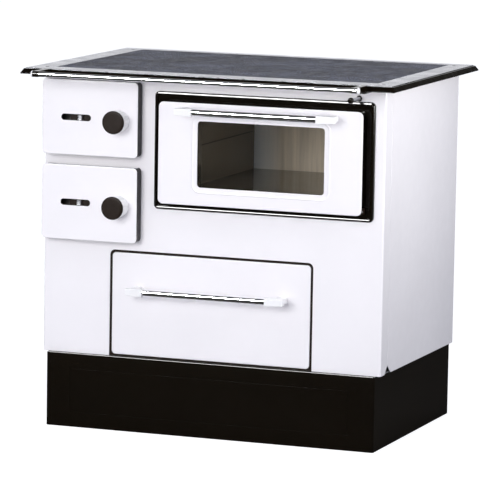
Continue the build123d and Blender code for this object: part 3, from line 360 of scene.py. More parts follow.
def thicken(obj, thickness):
    """Gives an open shell its sheet's thickness, inwards."""
    run_modifier(obj, "SOLIDIFY", "Sheet", thickness=thickness, offset=-1, use_even_offset=True)


def smooth(obj, angle=38):
    """Shades the piece smooth, with flat faces kept even."""
    activate(obj)
    bpy.ops.object.shade_smooth_by_angle(angle=math.radians(angle))
    run_modifier(obj, "WEIGHTED_NORMAL", "Even shading", keep_sharp=True, weight=60)


def soften_edges(obj, width, segments=2, angle=40):
    """Rounds every sharp edge, then shades the piece."""
    run_modifier(
        obj, "BEVEL", "Soft edges", width=width, segments=segments, limit_method="ANGLE",
        angle_limit=math.radians(angle), use_clamp_overlap=True, miter_outer="MITER_ARC",
    )
    smooth(obj)


# ------------------------------------------------------------------ dressing
def dress(obj, body, finish, *nodes, slot=None):
    """Gives a piece its finish and its body, and hides its nodes; the slot argument is not used."""
    obj.data.materials.clear()
    obj.data.materials.append(materials[finish])
    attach(obj, body)
    if nodes:
        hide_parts(*nodes)


def span(node):
    """A CAD node's two corners and its middle."""
    low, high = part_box(node)
    return low, high, (low + high) / 2


def body_of(node):
    for body, members in frame["record"]["behaviour"]["bodies"].items():
        if node in members:
            return body
    raise RuntimeError(f"no body holds {node}")


def trace_node(node, name):
    """A merged copy of a CAD node's mesh, with its flat faces whole again."""
    begin()
    obj = bpy.data.objects.new(name, frame["nodes"][node].data.copy())
    bpy.context.scene.collection.objects.link(obj)
    obj.data.name = name
    with picked(obj):
        bpy.ops.mesh.remove_doubles(threshold=1e-6)
        bpy.ops.mesh.dissolve_limited(angle_limit=math.radians(0.5))
    return obj


def soften_node(node, name, width, finish, segments=2, slot=None):
    """Stands a traced node with rounded edges in the node's place."""
    obj = trace_node(node, name)
    soften_edges(obj, width, segments, 35)
    dress(obj, body_of(node), finish, node, slot=slot)


def finish_nodes(finish, *nodes):
    """Gives carried-over CAD nodes their finish."""
    for node in nodes:
        mesh = frame["nodes"][node].data
        mesh.materials.clear()
        mesh.materials.append(materials[finish])


# ------------------------------------------------------------------ materials
def shade(colour, factor):
    return tuple(min(1.0, channel * factor) for channel in colour)


class Nodes:
    """Adds nodes to a tree. What fills a socket is another socket, a number, a colour or a vector."""

    def __init__(self, tree):
        self.tree = tree

    def feed(self, socket, value):
        if isinstance(value, bpy.types.NodeSocket):
            self.tree.links.new(value, socket)
        else:
            socket.default_value = (*value, 1) if socket.type == "RGBA" else value

    def fill(self, node, **values):
        """Fills sockets by their names, with an underscore for each space."""
        for name, value in values.items():
            self.feed(node.inputs[name.replace("_", " ")], value)

    def node(self, kind, options=(), **values):
        """Adds a node, sets its options and fills its sockets."""
        node = self.tree.nodes.new("ShaderNode" + kind)
        for option, choice in dict(options).items():
            setattr(node, option, choice)
        self.fill(node, **values)
        return node

    def parts(self, vector):
        """A vector's X, Y and Z."""
        return self.node("SeparateXYZ", Vector=vector).outputs

    def maths(self, operation, first, second):
        node = self.node("Math", {"operation": operation})
        for socket, value in zip(node.inputs, (first, second)):
            self.feed(socket, value)
        return node.outputs["Value"]

    def spread(self, value, low, high, to_low=0.0, to_high=1.0):
        """Stretches the stretch from low to high of a value over another one."""
        node = self.node(
            "MapRange", Value=value, From_Min=low, From_Max=high, To_Min=to_low, To_Max=to_high
        )
        return node.outputs["Result"]

    def blend(self, factor, first, second):
        """Mixes two colours."""
        node = self.node("Mix", {"data_type": "RGBA"}, Factor=factor)
        sockets = [socket for socket in node.inputs if socket.type == "RGBA"]
        for socket, colour in zip(sockets, (first, second)):
            self.feed(socket, colour)
        return next(socket for socket in node.outputs if socket.type == "RGBA")

    def ramp(self, value, stops):
        """Levels of light along a value, each stop given as place and level."""
        node = self.node("ValToRGB", Fac=value)
        elements = node.color_ramp.elements
        while len(elements) < len(stops):
            elements.new(0.5)
        for element, (place, level) in zip(elements, stops):
            element.position = place
            element.color = (level, level, level * 1.02, 1)
        return node.outputs["Color"]


class Finish(Nodes):
    """A material under construction: its shader, and patterns read from object coordinates."""

    def __init__(self, name, colour, roughness, **values):
        material = bpy.data.materials.new(name)
        material.use_nodes = True
        super().__init__(material.node_tree)
        self.colour = colour
        self.shader = self.tree.nodes["Principled BSDF"]
        self.fill(self.shader, Base_Color=colour, Roughness=roughness, **values)
        self.coordinates = self.node("TexCoord").outputs["Object"]
        materials[name] = material

    def noise(self, scale, detail=3.0, roughness=0.5, stretch=None):
        place = self.coordinates
        if stretch:
            place = self.node("Mapping", Scale=stretch, Vector=place).outputs["Vector"]
        node = self.node("TexNoise", Vector=place, Scale=scale, Detail=detail, Roughness=roughness)
        return node.outputs["Fac"]

    def cells(self, scale, output="Distance"):
        return self.node("TexVoronoi", Vector=self.coordinates, Scale=scale).outputs[output]

    def paint(self, colour):
        self.fill(self.shader, Base_Color=colour)

    def mottle(self, pattern, low, high):
        """Varies the colour between two shades of itself."""
        self.paint(self.blend(pattern, shade(self.colour, low), shade(self.colour, high)))

    def gloss(self, pattern, low, high, start=0.3, end=0.7):
        """Varies the roughness from low to high where the pattern goes from start to end."""
        self.fill(self.shader, Roughness=self.spread(pattern, start, end, low, high))

    def relief(self, *layers):
        """Stacks bumps, each given as height, strength and distance in millimetres."""
        below = {}
        for height, strength, distance in layers:
            bump = self.node("Bump", Height=height, Strength=strength, Distance=distance * MM, **below)
            below = {"Normal": bump.outputs["Normal"]}
        self.fill(self.shader, **below)


class COOKSTOVE_OT_finishes(Operator):
    """Make the enamel, iron, steel, moulding, brick and glass finishes"""

    bl_idname = "cookstove.finishes"
    bl_label = "Finishes"

    def execute(self, context):
        colours = context.scene.cookstove_colours
        self.enamels(colours)
        self.metals(colours)
        self.mouldings(colours)
        self.oven(colours.oven_enamel, colours.oven_painted_light)
        self.linings(colours)
        return {"FINISHED"}

    def enamels(self, colours):
        white = Finish("white_enamel", colours.white_enamel, 0.2)
        white.mottle(white.spread(white.noise(5.0, 4), 0.35, 0.65), 0.975, 1)
        white.gloss(white.noise(38, 3), 0.17, 0.27)
        white.relief((white.noise(14, 2), 0.25, 1.2), (white.noise(330, 2, stretch=(1, 1, 0.55)), 0.10, 0.4))

        black = Finish("black_enamel", colours.black_enamel, 0.1, IOR=1.45)
        black.mottle(black.noise(9, 4), 0.75, 1.35)
        black.gloss(black.noise(60, 4), 0.07, 0.15)
        black.relief((black.noise(16, 2), 0.2, 1.2), (black.noise(380, 2), 0.12, 0.4))

    def metals(self, colours):
        plate = Finish("cast_iron_top", colours.plate_iron, 0.5, Metallic=0.2, Specular_IOR_Level=0.25)
        grain = plate.spread(plate.noise(420, 3, 0.75, stretch=(1, 0.55, 1)), 0.50, 0.64)
        cloud = plate.spread(plate.noise(9, 5, 0.6), 0.36, 0.62, 0.3, 1.0)
        grain = plate.maths("MULTIPLY", grain, cloud)
        plate.paint(plate.blend(grain, colours.plate_iron, colours.plate_grain))
        plate.gloss(plate.noise(45, 4), 0.42, 0.62)
        marks = plate.noise(120, 3, stretch=(1, 0.12, 1))
        plate.relief((plate.noise(900, 3, 0.7), 0.35, 0.6), (marks, 0.12, 0.5))

        band = Finish("polished_steel", colours.band_steel, 0.3, Metallic=1.0)
        lines = band.noise(700, 3, 0.6, stretch=(0.04, 1, 1))
        band.mottle(band.spread(lines, 0.3, 0.7), 0.86, 1)
        band.gloss(band.noise(24, 5, 0.7), 0.22, 0.42, 0.35)
        band.relief((lines, 0.12, 0.3), (band.noise(18, 2), 0.2, 1.2))

        chrome = Finish("bright_chrome", colours.chrome, 0.06, Metallic=1.0)
        chrome.gloss(chrome.noise(70, 4), 0.035, 0.11, 0.4, 0.75)
        chrome.relief((chrome.noise(45, 2), 0.08, 0.6))

        iron = Finish("cast_iron_dark", colours.cast_iron, 0.62)
        iron.mottle(iron.spread(iron.noise(40, 6), 0.35, 0.7), 0.7, 1.35)
        iron.gloss(iron.noise(200, 4), 0.5, 0.75)
        iron.relief((iron.noise(650, 4, 0.7), 0.5, 0.6), (iron.noise(60, 3), 0.2, 1))

        sheet = Finish("dark_sheet", colours.dark_sheet, 0.5, Metallic=0.5)
        sheet.mottle(sheet.spread(sheet.noise(7, 6, 0.6), 0.4, 0.7), 1, 2.1)
        sheet.gloss(sheet.noise(30, 5), 0.4, 0.68)
        sheet.relief((sheet.noise(500, 3), 0.15, 0.4))

        zinc = Finish("plain_steel", colours.zinc, 0.36, Metallic=0.4)
        zinc.mottle(zinc.spread(zinc.cells(55, "Color"), 0.1, 0.9), 0.78, 1.12)
        zinc.gloss(zinc.noise(26, 5), 0.28, 0.46)
        zinc.relief((zinc.noise(240, 3), 0.12, 0.4))

    def mouldings(self, colours):
        white = Finish("white_handle", colours.white_moulding, 0.35, IOR=1.46)
        white.mottle(white.noise(30, 4), 0.95, 1)
        white.gloss(white.noise(160, 4), 0.28, 0.42)
        white.relief((white.noise(420, 3), 0.12, 0.3))

        black = Finish("black_handle", colours.black_moulding, 0.42, IOR=1.24)
        black.mottle(black.noise(120, 4), 0.7, 1.6)
        black.gloss(black.noise(300, 4), 0.33, 0.52)
        black.relief((black.noise(900, 3), 0.25, 0.3))

    def oven(self, enamel, painted_light):
        """Streaky enamel, with a pale stripe of painted light beside the left wall, and painted shade on that
        wall and on the floor.
        """
        oven = Finish("oven_enamel", enamel, 0.16, IOR=1.45)
        streak = oven.noise(90, 4, 0.6, stretch=(1, 1, 0.04))
        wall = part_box("oven_box")[0].x + 14 * MM
        across = oven.parts(oven.coordinates)["X"]
        facing = oven.parts(oven.node("NewGeometry").outputs["Normal"])
        ground = oven.blend(oven.spread(streak, 0.35, 0.7), shade(enamel, 0.85), shade(enamel, 1.15))
        # Painted light: a pale stripe on the walls next to the left wall, fading over 61 mm.
        ground = oven.blend(oven.spread(across, wall, wall + 61 * MM, 1.0, 0.0), ground, painted_light)
        # Painted shade: the left wall itself is darker, except where a face looks to the front.
        clear_of_painted_shade = oven.maths(
            "MAXIMUM", oven.spread(across, wall, wall + 1 * MM), oven.spread(facing["Y"], -0.4, -0.6)
        )
        ground = oven.blend(clear_of_painted_shade, shade(enamel, 0.36), ground)
        # Painted shade: faces that look up, the oven's floor, are darker.
        oven.paint(oven.blend(oven.spread(facing["Z"], 0.4, 0.6), ground, shade(enamel, 0.2)))
        oven.gloss(oven.noise(24, 4), 0.05, 0.13)
        oven.relief((oven.noise(300, 2), 0.1, 0.4), (streak, 0.1, 0.5))

    def linings(self, colours):
        brick = Finish("firebrick", colours.firebrick, 0.95)
        soot = brick.spread(brick.noise(14, 6, 0.65), 0.42, 0.68)
        stain = brick.blend(soot, colours.firebrick, shade(colours.firebrick, 0.35))
        grit = brick.spread(brick.cells(230), 0.05, 0.22)
        brick.paint(brick.blend(grit, shade(colours.firebrick, 1.5), stain))
        brick.relief((brick.noise(260, 5, 0.7), 0.7, 1.2), (brick.cells(120), 0.3, 1))

        rope = Finish("rope_gasket", colours.rope, 0.9)
        diagonal = {"wave_type": "BANDS", "bands_direction": "DIAGONAL"}
        strand = rope.node("TexWave", diagonal, Scale=110, Distortion=1.5, Vector=rope.coordinates)
        rope.mottle(strand.outputs["Fac"], 0.45, 1)
        rope.relief((strand.outputs["Fac"], 0.8, 1), (rope.noise(900, 3), 0.4, 0.5))

        glass = Finish("oven_window", (0.012, 0.014, 0.012), 0.03, IOR=1.5)
        rim = glass.node("LayerWeight", Blend=0.25).outputs["Fresnel"]
        glass.fill(glass.shader, Alpha=glass.spread(rim, 0.0, 0.6, 0.0, 0.5))
        glass.relief((glass.noise(9, 2), 0.1, 0.8))

# ------------------------------------------------------------------ shared forms
def add_painted_shade_ring(ring, hole, body):
    """Makes a dark ring of painted shade from a slab and the hole in it."""
    carve(ring, hole)
    smooth(ring)
    dress(ring, body, "black_handle")


def ring_bar(bar, place, way, near, far, height):
    """Raises a collar round a bar along X, between two distances from a place, or sinks a groove."""
    slice_mesh(bar, X_AXIS, place + way * near, place + way * far)

    def between(face):
        along = (face.calc_center_median().x - place) * way
        return abs(face.normal.x) < 0.1 and near < along < far

    with picked(bar, "FACE", between):
        bpy.ops.mesh.extrude_region_shrink_fatten(TRANSFORM_OT_shrink_fatten={"value": height})


def cut_seam_corner(panel, x, foot, seam, reach):
    """Cuts a slanted corner off a panel at the foot of the seam, on the side that reach points to."""
    side, rise, skin = math.copysign(1, reach), 20 * MM, 0.1 * MM
    near, far = sorted((seam - side * skin, seam + reach))
    wedge = add_block("cut", (x - PAST, near, foot - skin), (x + PAST, far, foot + rise))
    slope = Vector((0, side * rise, abs(reach))).normalized()
    with picked(wedge):
        bpy.ops.mesh.bisect(
            plane_co=(x, seam, foot + rise), plane_no=tuple(slope), use_fill=True, clear_outer=True
        )
    carve(panel, wedge)


# ------------------------------------------------------------------ plinth and casing
class COOKSTOVE_OT_plinth(Operator):
    """Fold the black plinth, with a shallow groove pressed round the field on its front"""

    bl_idname = "cookstove.plinth"
    bl_label = "Plinth"

    def execute(self, context):
        sizes = context.scene.cookstove_sizes
        low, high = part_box("plinth")
        plinth = rounded_slab("plinth_box", low, high, Z_AXIS, sizes.casing_corner, 6)
        bevel_face_rim(plinth, TOP_FACES, 3 * MM, 2)

        inset, groove, depth = 60 * MM, 5 * MM, 0.8 * MM  # of the pressed field
        left, right = low.x + inset, high.x - inset
        foot, top = 36 * MM, 144 * MM
        slice_mesh(plinth, X_AXIS, left, left + groove, right - groove, right)
        slice_mesh(plinth, Z_AXIS, foot, foot + groove, top - groove, top)

        def in_groove(face):
            spot = face.calc_center_median()
            inside = min(spot.x - left, right - spot.x, spot.z - foot, top - spot.z)
            return abs(spot.y - low.y) < TOUCH and 0 < inside < groove

        extrude_faces(plinth, in_groove, (0, depth, 0))
        sheet, flange = sizes.sheet, 22 * MM
        carve(plinth, rounded_slab(
            "cut", *grown(low, high, -sheet, -sheet, -sheet), Z_AXIS, sizes.casing_corner - sheet / 2, 6
        ))
        cut_block(plinth, *grown(low, high, -flange, -flange, PAST))
        soften_edges(plinth, 0.35 * MM, 3)
        smooth(plinth, 16)
        dress(plinth, "stove", "black_enamel", "plinth")
        return {"FINISHED"}


class COOKSTOVE_OT_front_panel(Operator):
    """Fold the white front panel, with its openings, cut corners and a dark rim of painted shade behind the
    drawer opening
    """

    bl_idname = "cookstove.front_panel"
    bl_label = "Front panel"

    def execute(self, context):
        sizes = context.scene.cookstove_sizes
        low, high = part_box("front_panel")
        panel = add_block("front_panel_sheet", low, high)
        remove_faces(panel, lambda face: face.normal.y > 0.9 or abs(face.normal.z) > 0.9)
        bevel_edges(panel, edges_along(Z_AXIS, lambda spot: spot.y < low.y + TOUCH), sizes.casing_corner, 6)
        thicken(panel, sizes.sheet)
        front, behind = low.y - PAST, low.y + PAST

        def cut_opening(left, right, foot, top):
            cut_block(panel, (left, front, foot), (right, behind, top))

        lip, ear_width, ear_reach, ear_inset = 7 * MM, 21 * MM, 4 * MM, 5 * MM
        for door in ("fire", "ash"):
            seat_low, seat_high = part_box(door + "_door_frame")
            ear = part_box(door + "_hinge_pins")[0].x - ear_reach
            cut_opening(seat_low.x + lip, seat_high.x - lip, seat_low.z + lip, seat_high.z - lip)
            cut_opening(ear, ear + ear_width, seat_low.z + ear_inset, seat_high.z - ear_inset)
        oven_low, oven_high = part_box("oven_box")
        gap = 1 * MM
        cut_opening(oven_low.x - gap, oven_high.x + gap, oven_low.z - gap, oven_high.z + gap)

        drawer_low, drawer_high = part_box("drawer_front")
        around, under = 6.2 * MM, 40 * MM
        carve(panel, rounded_slab(
            "cut", (drawer_low.x - around, front, low.z - under),
            (drawer_high.x + around, behind, drawer_high.z + around), Y_AXIS, 13 * MM,
        ))
        bush_hole, corner_reach = 5.4 * MM, 19 * MM
        carve(panel, add_rod("cut", span("damper_bush")[2], "Y", front, behind, bush_hole, 32))
        for x in (low.x, high.x):
            cut_seam_corner(panel, x, low.z, high.y, -corner_reach)
        soften_edges(panel, sizes.sheet_edge, 3)
        dress(panel, "stove", "white_enamel", "front_panel")
        self.drawer_painted_shade_rim(low, drawer_low, drawer_high)
        return {"FINISHED"}

    def drawer_painted_shade_rim(self, panel_low, low, high):
        """A dark rim of painted shade behind the sheet, round the drawer's opening."""
        inner, outer, thickness, lift = 1 * MM, 9 * MM, 1.2 * MM, 0.3 * MM
        front = panel_low.y + 2.05 * MM  # just clear of the sheet
        # Painted shade: a dark rim that makes the gap round the drawer look black.
        rim = rounded_slab(
            "drawer_opening_rim", (low.x - outer, front, panel_low.z + lift),
            (high.x + outer, front + thickness, high.z + outer), Y_AXIS, 5 * MM, 4,
        )
        hole = face_slab("cut", low, high, inner, front - PAST, front + PAST, 10 * MM)
        add_painted_shade_ring(rim, hole, "stove")


class COOKSTOVE_OT_side_panels(Operator):
    """Fold the two white side panels, with their lap, back flange and cut corner"""

    bl_idname = "cookstove.side_panels"
    bl_label = "Side panels"

    def execute(self, context):
        sheet = context.scene.cookstove_sizes.sheet
        lap, flange, corner_reach = 16 * MM, 14 * MM, 25 * MM
        for side, node in ((-1, "side_panel_left"), (1, "side_panel_right")):
            low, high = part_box(node)
            outer = high.x if side > 0 else low.x
            inner = outer - side * sheet
            inward = Vector((-side, 0, 0))
            seam, lap_foot = low.y + lap, low.z + 22 * MM
            flange_front, flange_back = high.y - 4 * MM, high.y - 2 * MM
            left, right = sorted((outer, inner))
            panel = add_block(node + "_sheet", (left, seam, low.z), (right, high.y, high.z))
            slice_mesh(panel, Y_AXIS, seam + lap, flange_front, flange_back)
            slice_mesh(panel, Z_AXIS, lap_foot)

            def lap_root(face):
                spot = face.calc_center_median()
                return face.normal.dot(inward) > 0.9 and spot.y < seam + lap and spot.z > lap_foot

            def lap_nose(face):
                return face.normal.y < -0.9 and (face.calc_center_median().x - inner) * side < 0

            def flange_root(face):
                depth = face.calc_center_median().y
                return face.normal.dot(inward) > 0.9 and flange_front < depth < flange_back

            extrude_faces(panel, lap_root, inward * sheet)
            extrude_faces(panel, lap_nose, (0, -lap, 0))
            extrude_faces(panel, flange_root, inward * flange)
            cut_seam_corner(panel, outer, low.z, seam, corner_reach)
            soften_edges(panel, 0.7 * MM, 3)
            dress(panel, "stove", "white_enamel", node)
        return {"FINISHED"}


# ------------------------------------------------------------------ hob
class COOKSTOVE_OT_hob(Operator):
    """Shape the hob's flared black frame, the polished band on it and the cooking plate"""

    bl_idname = "cookstove.hob"
    bl_label = "Hob"

    def execute(self, context):
        plate_low, plate_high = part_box("cooking_plate")
        gap = 2 * MM
        well = [Vector(corner) for corner in grown(plate_low, plate_high, gap, gap, 0)]
        self.hob_frame(*well)
        self.band(*well)
        plate = rounded_slab("hot_plate", plate_low, plate_high, Z_AXIS, 4 * MM, 6)
        bevel_face_rim(plate, TOP_FACES, 1.2 * MM, 4)
        smooth(plate)
        dress(plate, "stove", "cast_iron_top", "cooking_plate")
        return {"FINISHED"}

    def hob_frame(self, well_low, well_high):
        """The black frame, with a well that carries the plate on a ledge."""
        low, high, middle = span("hob_frame")
        size = high - low
        ledge, back_ledge, sheet, flare = 14 * MM, 37 * MM, 3 * MM, 7 * MM
        hob = add_block("hob_frame_casting", low, high)
        shrink = ((size.x - 2 * flare) / size.x, (size.y - 2 * flare) / size.y, 1)
        resize_faces(hob, TOP_FACES, shrink, (middle.x, middle.y, high.z))
        bevel_edges(hob, edges_across(Z_AXIS), 5 * MM, 6)
        remove_faces(hob, faces_towards(-Z_AXIS))
        thicken(hob, sheet)
        walls_low, walls_high = grown(well_low, well_high, sheet, sheet, sheet)
        carve(hob, add_block("well", walls_low, (*walls_high[:2], high.z - 0.1 * MM)), "UNION")
        cut_block(hob, well_low, (well_high.x, well_high.y, high.z + PAST))
        cut_block(
            hob, (well_low.x + ledge, well_low.y + ledge, low.z - PAST),
            (well_high.x - ledge, well_high.y - back_ledge, high.z + PAST),
        )
        soften_edges(hob, 1.1 * MM, 3)
        dress(hob, "stove", "black_enamel", "hob_frame")

    def band(self, well_low, well_high):
        """The polished band round the plate, in two halves, and the screws in its corners."""
        low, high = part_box("hob_trim")
        under, over = low.z - PAST, high.z + PAST
        band = rounded_slab("polished_band", low, high, Z_AXIS, 4 * MM, 6)
        cut_block(band, (well_low.x, well_low.y, under), (well_high.x, well_high.y, over))
        screw_low, screw_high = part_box("hob_screws")
        head, hole = 4.8 * MM, 5 * MM
        for x in (screw_low.x + head, screw_high.x - head):
            for y in (screw_low.y + head, screw_high.y - head):
                carve(band, add_rod("cut", (x, y, 0), "Z", under, over, hole, 40))
        joint, reach = 0.35 * MM, 5 * MM
        for front, back in ((low.y - reach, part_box("cooking_plate")[0].y), (high.y - reach, high.y + reach)):
            cut_block(band, (-joint, front, under), (joint, back, over))
        soften_edges(band, 0.4 * MM, 3)
        dress(band, "stove", "polished_steel", "hob_trim")
        finish_nodes("black_handle", "hob_screws")


class COOKSTOVE_OT_towel_rail(Operator):
    """Turn the chrome towel rail with its collars, arms and white caps"""

    bl_idname = "cookstove.towel_rail"
    bl_label = "Towel rail"

    def execute(self, context):
        low, high, middle = span("towel_rail")
        rail = add_rod("towel_rail_tube", middle, "X", low.x, high.x, (high.z - low.z) / 2)
        collar_start, collar_end, collar_height = 15 * MM, 32 * MM, 0.6 * MM
        wall, bore, sleeve_length, sleeve_radius = 1.4 * MM, 3 * MM, 16 * MM, 7.3 * MM
        for side, end in ((1, low.x), (-1, high.x)):
            ring_bar(rail, end, side, collar_start, collar_end, collar_height)
            inset_faces(rail, lambda face: face.normal.x * side < -0.9 and len(face.verts) > 8, wall, -bore)
        sleeve = add_rod("sleeve", middle, "X", high.x - sleeve_length, high.x - 0.2 * MM, sleeve_radius)
        join([rail, sleeve], "towel_rail_tube")
        soften_edges(rail, 0.3 * MM)
        dress(rail, "stove", "bright_chrome", "towel_rail")

        caps_low, caps_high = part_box("rail_caps")
        caps = []
        for side, inner, outer in ((-1, low.x, caps_low.x), (1, high.x, caps_high.x)):
            cap = add_rod("cap", middle, "X", inner, outer, (caps_high.z - caps_low.z) / 2)
            end_face = faces_towards(side * X_AXIS)
            bevel_face_rim(cap, end_face, 1.6 * MM, 5)
            inset_faces(cap, end_face, 2.2 * MM, -0.3 * MM)
            caps.append(cap)
        caps = join(caps, "towel_rail_caps")
        soften_edges(caps, 0.15 * MM)
        dress(caps, "stove", "white_handle", "rail_caps")
        soften_node("rail_brackets", "towel_rail_arms", 1.4 * MM, "black_enamel", 3)
        return {"FINISHED"}


# ------------------------------------------------------------------ fire and ash doors
class COOKSTOVE_OT_small_doors(Operator):
    """Press the fire and ash doors' white faces and shape their slots, cast bodies, shutters and knobs"""

    bl_idname = "cookstove.small_doors"
    bl_label = "Fire and ash doors"

    def execute(self, context):
        sizes = context.scene.cookstove_sizes
        for door in ("fire", "ash"):
            knob = span(door + "_knob")[2]
            self.face(door, knob, sizes)
            self.body(door)
            soften_node(door + "_door_frame", door + "_door_seat", 0.8 * MM, "cast_iron_dark")
            self.slide(door)
            self.knob(door, knob, sizes.knob_flats)
            finish_nodes("plain_steel", door + "_hinge_pins", door + "_latch")
            finish_nodes("dark_sheet", door + "_door_shield")
        return {"FINISHED"}

    def face(self, door, knob, sizes):
        """The white face with its air slot and knob hole, and a dark lining of painted shade on the wall of
        the slot.
        """
        low, high, middle = span(door + "_door_plate")
        front, behind = low.y - PAST, high.y + PAST
        slot_middle = Vector((middle.x - 34.5 * MM, 0, middle.z))
        slot_half = Vector((37.5 * MM, 0, 7.5 * MM))
        knob_hole, inner_x, inner_z = 5.08 * MM, 100 * MM, 70 * MM

        def slot(name, grow, near, far):
            corner = slot_half.z + grow - 0.05 * MM
            return face_slab(
                name, slot_middle - slot_half, slot_middle + slot_half, grow, near, far, corner, 10
            )

        def outline(edge):
            """Test for the front edges outside the part that holds the slot and the hole."""
            away = edge_spot(edge) - middle
            if not lies_at(edge, low.y) or len(edge.link_faces) != 2 or edge.calc_face_angle(0) < 1:
                return False
            return abs(away.x) > inner_x or abs(away.z) > inner_z

        face = rounded_slab(door + "_door_face", low, high, Y_AXIS, sizes.door_corner)
        carve(face, slot("cut", 0, front, behind))
        carve(face, add_rod("cut", knob, "Y", front, behind, knob_hole, 32))
        bevel_edges(face, outline, sizes.door_edge, 5)
        soften_edges(face, 0.6 * MM, 3, 60)
        dress(face, door + "_door", "white_enamel", door + "_door_plate")

        skin, wall, lip = 0.1 * MM, 0.5 * MM, 0.9 * MM
        # Painted shade: a dark lining that makes the slot look black.
        lining = slot(door + "_air_slot_wall", skin, low.y + lip, high.y)
        add_painted_shade_ring(lining, slot("cut", -wall, front, behind), door + "_door")

    def body(self, door):
        """The cast body, a little shorter than the white face at both ends."""
        low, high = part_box(door + "_door_casting")
        body = trace_node(door + "_door_casting", door + "_door_body")
        shortening = 2 * MM
        for end, move in ((low.z, shortening), (high.z, -shortening)):
            with picked(body, "VERT", lambda vert: abs(vert.co.z - end) < 0.1 * MM):
                bpy.ops.transform.translate(value=(0, 0, move))
        soften_edges(body, 0.7 * MM, 2, 35)
        dress(body, door + "_door", "cast_iron_dark", door + "_door_casting")

    def slide(self, door):
        """The air shutter: a dark leaf with a bright tab that stands in the slot."""
        low, high, middle = span(door + "_air_slide")
        half_width, half_height, leaf_sheet, bite = 5.5 * MM, 6 * MM, 2 * MM, 0.1 * MM
        leaf_front = high.y - leaf_sheet
        leaf = rounded_slab(door + "_air_leaf", (low.x, leaf_front, low.z), high, Y_AXIS, 2 * MM, 4)
        soften_edges(leaf, 0.3 * MM)
        tab = add_block(
            door + "_air_shutter", (middle.x - half_width, low.y, middle.z - half_height),
            (middle.x + half_width, leaf_front + bite, middle.z + half_height),
        )
        bevel_edges(tab, edges_along(Z_AXIS, lambda spot: spot.y < low.y + TOUCH), 1.5 * MM, 4)
        inset_faces(tab, FRONT_FACES, 1.6 * MM)
        inset_faces(tab, FRONT_FACES, 0.6 * MM, -0.7 * MM)
        soften_edges(tab, 0.3 * MM)
        dress(tab, door + "_air", "polished_steel", door + "_air_slide", slot="plain_steel")
        dress(leaf, door + "_air", "black_handle")

    def knob(self, door, middle, flats):
        """A white grip with flats round it, and a dark domed face in its front."""
        low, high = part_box(door + "_knob")
        grip = add_rod(door + "_knob_grip", middle, "Y", low.y, high.y, (high.x - low.x) / 2, flats)
        taper = 0.985
        resize_faces(grip, faces_towards(Y_AXIS), (taper, 1, taper), (middle.x, high.y, middle.z))
        bevel_edges(grip, edges_across(Y_AXIS), 2.2 * MM, 3)
        flat_border, flat_depth, least_flat = 1.3 * MM, 0.8 * MM, 100 * MM * MM
        inset_faces(
            grip, lambda face: abs(face.normal.y) < 0.3 and face.calc_area() > least_flat,
            flat_border, -flat_depth, each=True,
        )
        inset_faces(grip, FRONT_FACES, 2 * MM)
        inset_faces(grip, lambda face: face.normal.y < -0.9 and len(face.verts) > 8, 0.8 * MM, -1.2 * MM)
        soften_edges(grip, 0.9 * MM, 3, 30)
        dress(grip, door + "_latch_knob", "white_handle", door + "_knob")

        low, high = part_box(door + "_knob_cap")
        cap = add_rod(door + "_knob_face", middle, "Y", low.y, high.y, (high.x - low.x) / 2, 64)
        bevel_face_rim(cap, FRONT_FACES, 2.4 * MM, 5)
        for width, depth in ((2.2, 0), (0.8, -0.6), (0.8, 0.5)):  # millimetres, of rings and steps
            inset_faces(cap, FRONT_FACES, width * MM, depth * MM)
        soften_edges(cap, 0.2 * MM, 2, 35)
        dress(cap, door + "_latch_knob", "black_handle", door + "_knob_cap")


